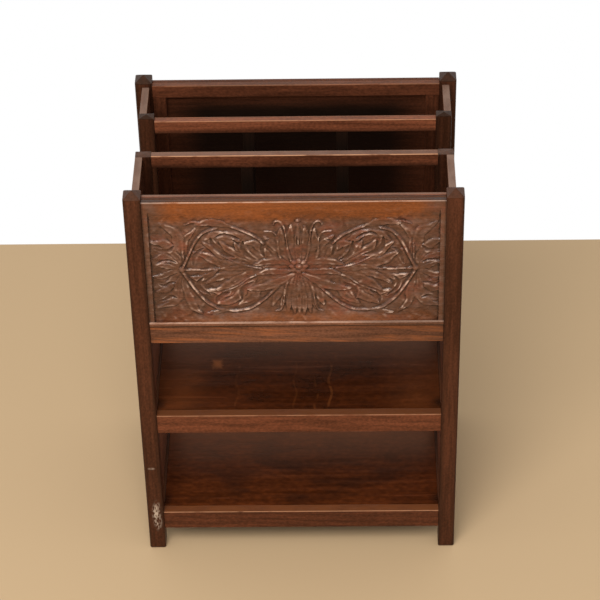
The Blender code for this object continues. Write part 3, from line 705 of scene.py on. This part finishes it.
def plain_share(u, v):
    """How far the ground has risen to the panel's face, from 0 to 1: softly, over a wide slope,
    beyond the upper and lower borders of the ornament."""
    out = np.full(u.shape, -np.inf)
    for points, direction in ((UPPER_BORDER, 1), (LOWER_BORDER, -1)):
        line = flowing(points)
        order = np.argsort(line[:, 0])
        border = np.interp(u, line[order, 0], line[order, 1])
        out = np.maximum(out, direction * (v - border))
    return smooth(out, -16, 5)


def by_hand(x, v):
    """How far a carver's hand strays at each point, in millimetres: sums of long sine waves."""
    stray_u = 1.5 * np.sin(v / 9.0 + 0.8 * np.sin(x / 13.0)) + 0.8 * np.sin(x / 6.5 + v / 17.0)
    stray_v = 1.4 * np.sin(x / 8.0 + 0.9 * np.sin(v / 11.0)) + 0.7 * np.sin(v / 5.5 - x / 19.0)
    return stray_u, stray_v


def gouged(u, v, size):
    """Swells that a gouge leaves, from -1 to 1: two sines, each bent by a slower one."""
    first = u / size + 1.8 * np.sin(v / (2.1 * size) + 1.2 * np.sin(u / (3.1 * size)))
    second = v / (0.9 * size) + 1.6 * np.sin(u / (1.9 * size) + 1.1 * np.sin(v / (2.7 * size)))
    return np.sin(first) * np.sin(second)


def carve(x, v):
    """Relief at points x, v: 1 at the panel's face and 0 at the deepest ground. The leaves stray
    from one half to the other, while the stems are drawn true."""
    u = np.abs(x)
    stray_u, stray_v = by_hand(x, v)
    leaf_u, leaf_v = u + stray_u * smooth(u, 4, 20), v + stray_v
    plain = plain_share(u, v)
    relief = plain + 0.16 * (1 + gouged(leaf_u, leaf_v, 5.2)) * (1 - plain)
    for leaves, top in ((MIDDLE_LEAVES, 0.75), (ACANTHUS, 0.95), (KNOT_FAN, 0.84),
                        ([BRACT], 0.95)):
        for points, width in leaves:
            raise_leaf(relief, leaf_u, leaf_v, points, width, top)
    relief = relief + (0.10 * gouged(leaf_v, leaf_u, 3.4) + 0.03 * gouged(x, v, 1.9)) * (1 - plain)
    for points, width in HOLLOWS:
        cut_hollow(relief, leaf_u, leaf_v, points, width)
    for points in (*RIBS, *CURLS):
        raise_stem(relief, u, v, points, 2.8, 0.75)
    for points, width in ((PIN_STEM, 2.6), (TIP_STEM, 2.0), (AXIS_STEM, 2.8)):
        raise_stem(relief, u, v, points, width)
    for points in (CREST_STEM, UPPER_STEM, LOWER_STEM):
        raise_stem(relief, u, v, points, 3.6, **DEEP_GROOVE)
    for points, width in (CREST_LEAF, FOOT_LEAF, *ROOT_LEAVES):
        raise_leaf(relief, u, v, points, width, 1.0)
    raise_rosette(relief, u, v - ROSETTE_RISE, ROSETTE_RADIUS)
    for middle_u, middle_v, radius in (PIN, KNOT):
        raise_knob(relief, u, v, middle_u, middle_v, radius)
    return relief


def panel_relief(x, z, sizes):
    """Depth below the panel's face at x, z in metres, with the masks that its finish reads.

    The ground has marks punched in it towards the ends: a product of two waves."""
    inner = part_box("front_panel_bead")[1].x - sizes.edge_strip
    field = smooth(inner - np.abs(x), 0, 0.0012)
    across = (x - sizes.middle_x) / MM
    v = (z - sizes.middle_z) / MM
    ornament = carve(across.ravel(), v.ravel()).reshape(v.shape)
    rubbed = 0.25 + 0.70 * smooth(gouged(across, v, 6.0), -0.2, 0.5)
    ornament = ornament + rubbed * (spread(ornament, 3) - ornament)
    relief = np.maximum(ornament, 1 - field)
    ground = smooth(0.30 - relief, 0, 0.2) * smooth(np.abs(across), 90, 165)
    punch = 0.5 + 0.5 * np.sin(x / MM * 2.9 + 0.7 * np.sin(z / MM)) * np.sin(z / MM * 2.7)
    depth = sizes.ground_depth * (1 - np.clip(relief, 0, 1)) + sizes.punch_depth * ground * punch
    return depth, {"ground": ground, "relief": relief}


# Operators

class STAND_OT_stage(bpy.types.Operator):
    """Lay the floor, hang the lamp and set up the camera"""

    bl_idname = "stand.stage"
    bl_label = "Stage"

    def execute(self, context):
        scene = context.scene
        self.lay_floor(scene)
        self.light(scene)
        self.aim_camera(scene)
        scene.view_settings.view_transform = "Standard"
        return {"FINISHED"}

    def lay_floor(self, scene):
        """A flat floor that ends behind the stand."""
        reach, back = scene.stand_stage.floor_reach, scene.stand_stage.floor_back
        corners = [(-reach, -reach, 0), (reach, -reach, 0), (reach, back, 0), (-reach, back, 0)]
        material = new_material("pale_floor")
        floor = Recipe(material.node_tree)
        surface = floor.node("ShaderNodeBsdfPrincipled", {
            "Base Color": rgba(scene.stand_colours.floor), "Roughness": 0.8})
        floor.node("ShaderNodeOutputMaterial", {"Surface": surface.outputs[0]})
        mesh = bpy.data.meshes.new("floor")
        mesh.from_pydata(corners, [], [(0, 1, 2, 3)])
        mesh.materials.append(material)
        floor_object = bpy.data.objects.new("floor", mesh)
        scene.collection.objects.link(floor_object)

    def light(self, scene):
        """An even sky that looks white, and one large soft lamp above the front."""
        scene.world = bpy.data.worlds.new("studio")
        scene.world.use_nodes = True
        sky = Recipe(scene.world.node_tree)
        path = sky.node("ShaderNodeLightPath").outputs
        seen = sky.most(path["Is Camera Ray"], path["Is Glossy Ray"], path["Is Transmission Ray"])
        strength = sky.fade(seen, 0.0, 1.0, scene.stand_stage.sky, 1.0)
        back = sky.node("ShaderNodeBackground", {"Color": (1, 1, 1, 1), "Strength": strength})
        sky.node("ShaderNodeOutputWorld", {"Surface": back.outputs[0]})
        lamp = bpy.data.lights.new("soft_lamp", "AREA")
        lamp.shape = "DISK"
        lamp.size = LAMP_WIDTH
        lamp.energy = scene.stand_stage.lamp_power
        lamp_object = bpy.data.objects.new("soft_lamp", lamp)
        lamp_object.location = LAMP_PLACE
        aim = Vector(LAMP_TARGET) - lamp_object.location
        lamp_object.rotation_euler = aim.to_track_quat("-Z", "Y").to_euler()
        scene.collection.objects.link(lamp_object)

    def aim_camera(self, scene):
        """A long lens, high in front of the stand, turned and rolled as it was held."""
        pitch, yaw, roll = (math.radians(angle) for angle in CAMERA_ANGLES)
        level = Vector((math.cos(yaw), -math.sin(yaw), 0))
        forward = Vector((math.sin(yaw) * math.cos(pitch), math.cos(yaw) * math.cos(pitch),
                          -math.sin(pitch)))
        upright = level.cross(forward)
        right = math.cos(roll) * level + math.sin(roll) * upright
        up = math.cos(roll) * upright - math.sin(roll) * level
        data = bpy.data.cameras.new("camera")
        data.sensor_width = SENSOR_WIDTH
        data.lens = CAMERA_LENS
        camera = bpy.data.objects.new("camera", data)
        camera.matrix_world = Matrix((right, up, -forward)).transposed().to_4x4()
        camera.location = CAMERA_PLACE
        scene.collection.objects.link(camera)
        scene.camera = camera


class STAND_OT_posts(bpy.types.Operator):
    """Finish the four posts and the dividers' uprights"""

    bl_idname = "stand.posts"
    bl_label = "Posts and uprights"

    def execute(self, context):
        # The posts darken near their long arrises, and their caps take dust and painted sheen
        finish = Finish("post", figure=0.25, top_wear=0.22, bloom=0.22, edge_darkening=0.45,
                        roughness=0.42)
        for name in NODES:
            if name.endswith("_upright"):
                dress(name, finish, "Z", tone=0.70, grime=self.old_cap)
            elif name.endswith("_post") and name != "front_left_post":
                tone = 0.9 if name.startswith("back") else 1.06
                dress(name, finish, "Z", tone=tone, grime=self.old_cap)
        dress("front_left_post", finish._replace(top_wear=0.12, worn="scuffed"), "Z", tone=1.06,
              grime=self.old_cap, extra=self.scuffs)
        return {"FINISHED"}

    def old_cap(self, oak):
        """Dark old polish on the low pyramid tops."""
        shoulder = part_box("back_panel")[1].z + 0.004
        amount = oak.fade(oak.y, -0.110, -0.030, 0.45, 0.66)
        return oak.times(oak.fade(oak.z, shoulder, shoulder + 0.0015), amount)

    def scuffs(self, oak):
        """An upright graze low on the front face, and a small nick above it. Each fades out from
        the middle of an ellipse."""
        grazed = oak.fade(oak.noise(oak.place, (520.0, 520.0, 190.0), 4.0), 0.42, 0.60, 0.0, 0.85)
        marks = []
        for x, z, half_width, half_height, strength in (
                (-0.2015, 0.0645, 0.0068, 0.027, grazed), (-0.2050, 0.155, 0.0050, 0.0024, 0.40)):
            aside = oak.calc("DIVIDE", oak.calc("SUBTRACT", oak.x, x), half_width)
            above = oak.calc("DIVIDE", oak.calc("SUBTRACT", oak.z, z), half_height)
            far = oak.gap(oak.join(aside, above, 0.0), (0, 0, 0))
            marks.append(oak.times(oak.fade(far, 0.35, 1.25, 1.0, 0.0), strength))
        front = oak.fade(oak.y, -0.137, -0.136, 1.0, 0.0)
        return oak.times(oak.most(*marks), front)


class STAND_OT_rails(bpy.types.Operator):
    """Finish the rails of the three levels and of the dividers"""

    bl_idname = "stand.rails"
    bl_label = "Rails"

    def execute(self, context):
        # Painted shade on four rails, each in its own place
        darkening = {"back_inner_top_rail": painted_bay_shade, "front_inner_top_rail": self.shade_next_to_panel,
                "magazine_front_rail": self.shadow_under_bead, "middle_front_rail": self.shade_behind_arris}
        for name in NODES:
            if not name.endswith("_rail"):
                continue
            level = next(start for start in RAIL_LEVELS if name.startswith(start))
            tone, bloom, top_wear = RAIL_LEVELS[level]
            at_side = "_left_" in name or "_right_" in name
            at_top = name.endswith("_top_rail")
            golden = name == "magazine_front_rail"
            # Each rail's top takes its top colour through the dust and painted sheen amount
            finish = Finish("carved" if golden else "rail", figure=0.30, bloom=bloom,
                            top_wear=0.0 if at_side else top_wear,
                            top_colour="bloom" if at_top else "polish",
                            worn="faded" if golden else "worn")
            # Side rails darken along their inner edge, and thin top rails get painted shade low
            # down
            usual = self.ledge if at_side else self.painted_low_shade if at_top else None
            dress(name, finish, "Y" if at_side else "X", tone=tone,
                  grime=darkening.get(name, usual),
                  extra=self.golden_streaks if golden else None,
                  faded=self.sheen_away_from_panel if level == "front_inner" else None)
        return {"FINISHED"}

    def golden_streaks(self, oak):
        """Long golden streaks in the front rail's figure, a little aslant."""
        place = oak.join(oak.x, oak.y, oak.calc("MULTIPLY_ADD", oak.x, 0.08, oak.z))
        return oak.fade(oak.noise(place, (11.0, 60.0, 170.0), 3.0), 0.46, 0.66, 0.0, 0.42)

    def shade_behind_arris(self, oak):
        """Painted shade: a darker band on the middle rail's top, just behind its rubbed arris."""
        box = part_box("middle_front_rail")
        behind = oak.fade(oak.y, box[0].y + 0.0012, box[0].y + 0.0028, 0.0, 0.26)
        return oak.times(behind, oak.fade(oak.z, box[1].z - 0.0006, box[1].z - 0.0002))

    def shade_next_to_panel(self, oak):
        """Painted shade along the rail's top, next to the carved panel."""
        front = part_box("front_inner_top_rail")[0].y
        return oak.fade(oak.y, front + 0.0030, front + 0.0048, 0.62, 0.0)

    def sheen_away_from_panel(self, oak):
        """Where the dust and painted sheen lie on the strip behind the carved panel: only along
        its back.
        """
        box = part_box("front_inner_top_rail")
        front, depth = box[0].y, box[1].y - box[0].y
        return oak.fade(oak.y, front + 0.40 * depth, front + 0.70 * depth)

    def shadow_under_bead(self, oak):
        """Painted shadow in the corner under the bead, and painted shade towards the right end."""
        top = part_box("magazine_front_rail")[1].z
        corner = oak.fade(oak.z, top - 0.0028, top - 0.0010, 0.0, 0.93)
        return oak.most(corner, shade_to_right(oak))

    def ledge(self, oak):
        """A darker inner edge on the narrow ledge that a side rail leaves inside the shelves."""
        inner = -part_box("front_left_side_board")[1].x
        return oak.fade(oak.aside, inner + 0.0005, inner + 0.0015, 0.50, 0.0)

    def painted_low_shade(self, oak):
        """Painted shade that darkens the lower edge of the thin top rails."""
        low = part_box("back_divider_top_rail")[0].z
        return oak.fade(oak.z, low, low + 0.009, 0.62, 0.0)


class STAND_OT_shelves(bpy.types.Operator):
    """Finish the magazine floor, the two shelf boards and the boards at their sides"""

    bl_idname = "stand.shelves"
    bl_label = "Shelf boards"

    def execute(self, context):
        # The shelves' tops take painted sheen in the sheen colour, towards their open backs
        finish = Finish("shelf", figure=0.10, bloom=0.90, top_colour="faded", worn="marked",
                        roughness=0.26, gloss=0.55, tint="amber", contrast=0.40, relief=0.12,
                        figure_size=2.4)
        dress("magazine_floor_board", finish, "X", tone=0.4, grime=self.corner_shade_and_smears,
              faded=self.sheen_at_back)
        dress("middle_shelf_board", finish, "X", tone=1.35, grime=self.corner_shade_and_smears,
              extra=self.old_marks, faded=self.sheen_at_back_and_ends)
        dress("bottom_shelf_board", finish, "X", tone=1.85, grime=self.corner_shade_and_smears,
              faded=self.sheen_at_back)
        # The side boards' high tone paints light onto their inner faces, which lie in shade
        for side in ("left", "right"):
            for level in ("middle", "bottom"):
                dress(f"{level}_{side}_side_board", Finish("post", roughness=0.36), "Y",
                      tone=3.0, grime=self.darker_outer_faces)
        return {"FINISHED"}

    def darker_outer_faces(self, oak):
        """Darker outer faces on the boards that close the shelves' sides, taking back the light
        that their high tone paints.
        """
        inner = -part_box("middle_left_side_board")[1].x
        return oak.fade(oak.aside, inner + 0.002, inner + 0.004, 0.0, 0.55)

    def sheen_at_back(self, oak):
        """How much painted sheen a shelf gets, more and more towards its open back."""
        return oak.fade(oak.y, -0.006, 0.088)

    def sheen_at_back_and_ends(self, oak):
        """The same, with a little painted light at the ends too."""
        return oak.most(self.sheen_at_back(oak), oak.fade(oak.aside, 0.100, 0.165, 0.0, 0.12))

    def old_marks(self, oak):
        """Pale flecks across the board, bent by a sine, and one small, squarish orange spot."""
        wave = oak.times(oak.calc("SINE", oak.times(oak.y, 120.0)), 0.0022)
        bent = oak.calc("SUBTRACT", oak.x, wave)
        broken = oak.fade(oak.noise(oak.place, (120.0, 70.0, 70.0), 2.0), 0.34, 0.54)
        front = oak.fade(oak.y, -0.030, -0.022, 1.0, 0.0)
        flecks = []
        for middle, width, strength in ((0.0235, 0.0022, 0.11), (0.0425, 0.0024, 0.12),
                                        (-0.0055, 0.0020, 0.05), (-0.0850, 0.0024, 0.05)):
            off = oak.off(bent, middle)
            flecks.append(oak.fade(off, 0.3 * width, width, strength, 0.0))
        square = oak.most(oak.off(oak.x, -0.1135), oak.times(oak.off(oak.y, -0.030), 0.75))
        patchy = oak.noise(oak.place, (200.0, 200.0, 200.0), 2.0)
        spot = oak.fade(oak.calc("MULTIPLY_ADD", patchy, 0.006, square), 0.0040, 0.0126, 0.46, 0.0)
        return oak.most(oak.times(oak.most(*flecks), broken, front), spot)

    def corner_shade_and_smears(self, oak):
        """Painted shade where the board meets the front posts, and dark smears, denser in its
        middle.
        """
        beside_post = (0.193, -0.112, 0.0)
        far = oak.gap(oak.join(oak.aside, oak.y, 0.0), beside_post)
        corner = oak.fade(far, 0.0, bpy.context.scene.stand_oak.corner_shade_reach, 0.80, 0.0)
        smears = oak.fade(oak.noise(oak.place, (13.0, 30.0, 30.0), 3.0), 0.44, 0.66, 0.0, 0.50)
        return oak.most(corner, oak.times(smears, oak.fade(oak.aside, 0.110, 0.170, 1.0, 0.3)))


class STAND_OT_boards(bpy.types.Operator):
    """Finish the bays' side boards, the back panel, the stiles and the slats"""

    bl_idname = "stand.boards"
    bl_label = "Boards, stiles and slats"

    def execute(self, context):
        plain = Finish("post", figure=0.3, roughness=0.45)
        topped = plain._replace(wear=0.2, bloom=0.85)
        redder = plain._replace(colour="rail")
        # Stiles, slats and the back panel take low tones as painted shade, deep in the bays
        for name in NODES:
            if name.endswith("_side_board") and not name.startswith(("middle", "bottom")):
                dress(name, topped, "Y", grime=painted_bay_shade)
            elif name.endswith("_stile"):
                dress(name, redder, "Z", tone=0.60, grime=painted_bay_shade)
            elif "_slat_" in name:
                dress(name, plain, "Z", tone=0.6, grime=self.painted_slat_shade)
        dress("back_panel", redder, "X", tone=0.60, grime=painted_bay_shade)
        return {"FINISHED"}

    def painted_slat_shade(self, oak):
        """Painted shade on the slats, darker the lower they go."""
        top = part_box("back_panel")[1].z
        return oak.fade(oak.z, top - 0.020, top - 0.050, 0.86, 0.98)


class STAND_OT_carved_panel(bpy.types.Operator):
    """Carve the front panel"""

    bl_idname = "stand.carved_panel"
    bl_label = "Carved panel"

    def execute(self, context):
        scene = context.scene
        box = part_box("carved_front_panel")
        points, faces, masks = self.surface(scene.stand_carving, box)
        panel = new_piece("carved_panel", points, faces, self.material(scene, box), masks)
        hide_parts("carved_front_panel")
        return {"FINISHED"}

    def surface(self, sizes, box):
        """Rings round the panel, from end to end: up the carved face, over the top, which is a
        quarter circle on either side, down the back and along the foot. Beyond the shoulders the
        rings shrink to the tongue. Hollows and ridges are the depth less its mean round about."""
        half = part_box("front_panel_bead")[1].x
        columns = int(round(2 * half / sizes.grid_step))
        rows = int(round((box[1].z - box[0].z) / sizes.grid_step))
        x = np.linspace(-half, half, columns)
        x = np.concatenate([[box[0].x, -half], x, [half, box[1].x]])
        low, high = box[0].z, box[1].z - ROUND_TOP
        turn = np.linspace(0, np.pi / 2, 7)[1:]
        arc_y = ROUND_TOP * (1 - np.cos(turn))
        arc_z = high + ROUND_TOP * np.sin(turn)
        back_y = np.concatenate([box[0].y + arc_y, box[1].y - arc_y[::-1], [box[1].y] * 2])
        back_z = np.concatenate([arc_z, arc_z[::-1], [high, low]])
        front_z = np.linspace(low, high, rows)
        grid_x, grid_z = np.meshgrid(x, np.concatenate([front_z, back_z]), indexing="ij")
        depth, masks = panel_relief(grid_x, grid_z, sizes)
        grid_y = box[0].y + depth
        grid_y[:, rows:] = back_y
        tongue = [0, 1, -2, -1]
        grid_y[tongue] = np.clip(grid_y[tongue], box[0].y + TONGUE_SIDE, box[1].y - TONGUE_SIDE)
        grid_z[tongue] = np.clip(grid_z[tongue], low + TONGUE_FOOT, box[1].z - TONGUE_TOP)
        bend = (depth - spread(depth, 5)) / FULL_BEND
        masks.update(hollow=np.clip(bend, 0, 1), ridge=np.clip(-bend, 0, 1))
        for values in masks.values():
            values[:, rows:] = 0
        points = np.stack([grid_x, grid_y, grid_z], axis=-1).reshape(-1, 3)
        faces = tube_faces(*grid_x.shape)
        return points, faces, {name: values.ravel() for name, values in masks.items()}

    def material(self, scene, box):
        """Stained oak on the plain parts, and greyer, waxy oak in the carving: painted lighter on
            its raised parts and darker on its ground as shade, dark in its hollows with dirt and
            painted shade, bright on its ridges with rubbed wood and painted highlights, and redder
            round the rosette."""
        colours, sizes = scene.stand_colours, scene.stand_carving
        material = new_material("carved_oak")
        oak = OakRecipe(material.node_tree)
        ground, hollow, ridge, raised = (
            oak.node("ShaderNodeAttribute", attribute_name=name).outputs["Fac"]
            for name in ("ground", "hollow", "ridge", "relief"))
        middle_z, top = sizes.middle_z, box[1].z
        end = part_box("front_panel_bead")[1].x
        slope = oak.facing[2]

        cloud = oak.noise(oak.place, (18.0, 18.0, 30.0), 3.0)
        height = oak.swing(cloud, 0.03, oak.z)
        carved = oak.most(
            oak.times(oak.fade(height, middle_z + 0.072, middle_z + 0.090, 1.0, 0.0),
                      oak.fade(height, middle_z - 0.084, middle_z - 0.066, 0.45, 1.0)),
            oak.fade(oak.aside, end - 0.040, end - 0.006, 0.0, 0.85))
        flat = oak.join(oak.times(oak.x, 0.6), 0.0, oak.z)
        far = oak.gap(flat, (sizes.middle_x * 0.6, 0.0, middle_z))
        red = oak.fade(oak.noise(oak.place, (34.0, 34.0, 44.0), 3.0), 0.50, 0.66, 0.0, 0.55)
        rosy = oak.most(oak.fade(far, 0.010, 0.036, 0.75, 0.0), oak.times(red, carved))
        body = oak.mix(carved, rgba(colours.band), rgba(colours.carved))
        body = oak.mix(rosy, body, rgba(colours.rosy))
        dull = oak.fade(oak.noise(oak.place, (75.0, 75.0, 110.0), 4.0), 0.46, 0.64, 0.0, 0.55)
        body = oak.mix(oak.times(dull, carved), body, rgba(colours.dulled))
        # Painted shade: the carving's raised parts lighter and its ground darker
        raised = oak.calc("MULTIPLY_ADD", raised, 0.38, -0.13)
        lit = oak.calc("MULTIPLY_ADD", raised, carved, 1.0)
        body = oak.mix(1.0, body, oak.join(lit, lit, lit), "MULTIPLY")

        # Painted highlight, over rubbed wood, along the arris of the round top
        arris = oak.times(oak.fade(oak.z, top - 0.0024, top - 0.0013, 0.0, 0.55),
                          oak.fade(oak.z, top - 0.0007, top - 0.0003, 1.0, 0.0))
        # Painted highlights on the ridges, strongest on those that face up, over rubbed wood
        glints = oak.times(
            oak.fade(oak.noise(oak.place, (80.0, 80.0, 120.0), 3.0), 0.49, 0.63, 0.05, 0.95),
            oak.fade(oak.aside, end - 0.050, end - 0.036, 1.0, 0.80),
            oak.fade(oak.aside, end - 0.0085, end - 0.0070, 1.0, 0.40),
            oak.fade(slope, -0.20, 0.20, 0.30, 1.0))
        # Dirt and painted shade: in the hollows, darkest where they face down; darker towards the
        # ends; painted shade on the top face and towards the lower right
        low_down = oak.fade(oak.z, middle_z - 0.062, middle_z - 0.040, 1.0, 0.0)
        grime = oak.most(oak.times(hollow, oak.fade(slope, -0.25, 0.15, 1.0, 0.60)),
                         oak.fade(oak.aside, end - 0.0035, end - 0.0010, 0.0, 0.60),
                         oak.fade(oak.aside, end - 0.045, end - 0.008, 0.0, 0.28),
                         oak.fade(oak.z, top - 0.0005, top - 0.0002, 0.0, 0.72),
                         oak.times(low_down, shade_to_right(oak)))
        stain = oak.node("ShaderNodeGroup", {
            "Place": oak.along_grain("X", 0.7), "Body": body,
            "Deep": oak.mix(1.0, body, rgba((1, 1, 1), 0.70), "MULTIPLY"),
            "Light": oak.mix(1.0, body, rgba((1, 1, 1), 1.32), "MULTIPLY"),
            "Worn": rgba(colours.glint), "Grime Colour": rgba(colours.grime), "Figure": 0.12,
            "Wear": oak.most(arris, oak.times(ridge, glints)), "Bloom": 0.0, "Grime": grime,
            "Roughness": 0.29,
        }, node_tree=bpy.data.node_groups["stained_oak"]).outputs
        spots = oak.node("ShaderNodeTexVoronoi", {"Vector": oak.place, "Scale": 620.0})
        punched = oak.times(spots.outputs["Distance"], ground)
        relief = oak.calc("MULTIPLY_ADD", punched, 1.6, stain["Height"])
        tint = oak.mix(carved, rgba(colours.gloss), rgba((1, 0.88, 0.80)))
        oak.wax(stain, relief, 0.6, 0.40, tint)
        return material


class STAND_OT_bead(bpy.types.Operator):
    """Finish the bead under the carved panel"""

    bl_idname = "stand.bead"
    bl_label = "Bead"

    def execute(self, context):
        # The bead's arrises take the glint colour all along: painted highlights over rubbed wood
        finish = Finish("carved", figure=0.3, wear=1.0, worn="glint", roughness=0.30, gloss=0.4)
        dress("front_panel_bead", finish, "X", tone=1.3, grime=self.foot)
        return {"FINISHED"}

    def foot(self, oak):
        """Painted shadow along the bead's foot, and painted shade towards the right end."""
        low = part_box("front_panel_bead")[0].z
        line = oak.fade(oak.z, low + 0.0014, low + 0.0038, 0.95, 0.0)
        return oak.most(line, oak.times(shade_to_right(oak), 2.0))


PIECE_OPERATORS = (STAND_OT_stage, STAND_OT_posts, STAND_OT_rails, STAND_OT_shelves,
                   STAND_OT_boards, STAND_OT_carved_panel, STAND_OT_bead)


class STAND_PT_sidebar(bpy.types.Panel):
    """Lists the pieces and their settings"""

    bl_label = "Magazine stand"
    bl_idname = "STAND_PT_sidebar"
    bl_space_type = "VIEW_3D"
    bl_region_type = "UI"
    bl_category = "Stand"

    def draw(self, context):
        layout = self.layout
        for operator in PIECE_OPERATORS:
            layout.operator(operator.bl_idname)
        for name, group in SETTINGS.items():
            layout.label(text=name.replace("_", " ").capitalize())
            for key in group.__annotations__:
                layout.prop(getattr(context.scene, name), key)


SETTINGS = {"stand_colours": StandColours, "stand_oak": OakSizes,
            "stand_carving": CarvingSizes, "stand_stage": StageSizes}
CLASSES = (*SETTINGS.values(), *PIECE_OPERATORS, STAND_PT_sidebar)


def register():
    """Add the classes and the scene's settings."""
    for entry in CLASSES:
        bpy.utils.register_class(entry)
    for name, group in SETTINGS.items():
        setattr(bpy.types.Scene, name, bpy.props.PointerProperty(type=group))


def unregister():
    """Take the settings and the classes away again."""
    for name in SETTINGS:
        delattr(bpy.types.Scene, name)
    for entry in reversed(CLASSES):
        bpy.utils.unregister_class(entry)


def main():
    """Dress the whole stand."""
    register()
    oak_group(bpy.context.scene.stand_oak)
    bpy.ops.stand.stage()
    bpy.ops.stand.posts()
    bpy.ops.stand.rails()
    bpy.ops.stand.shelves()
    bpy.ops.stand.boards()
    bpy.ops.stand.carved_panel()
    bpy.ops.stand.bead()


if __name__ == "__main__":
    main()
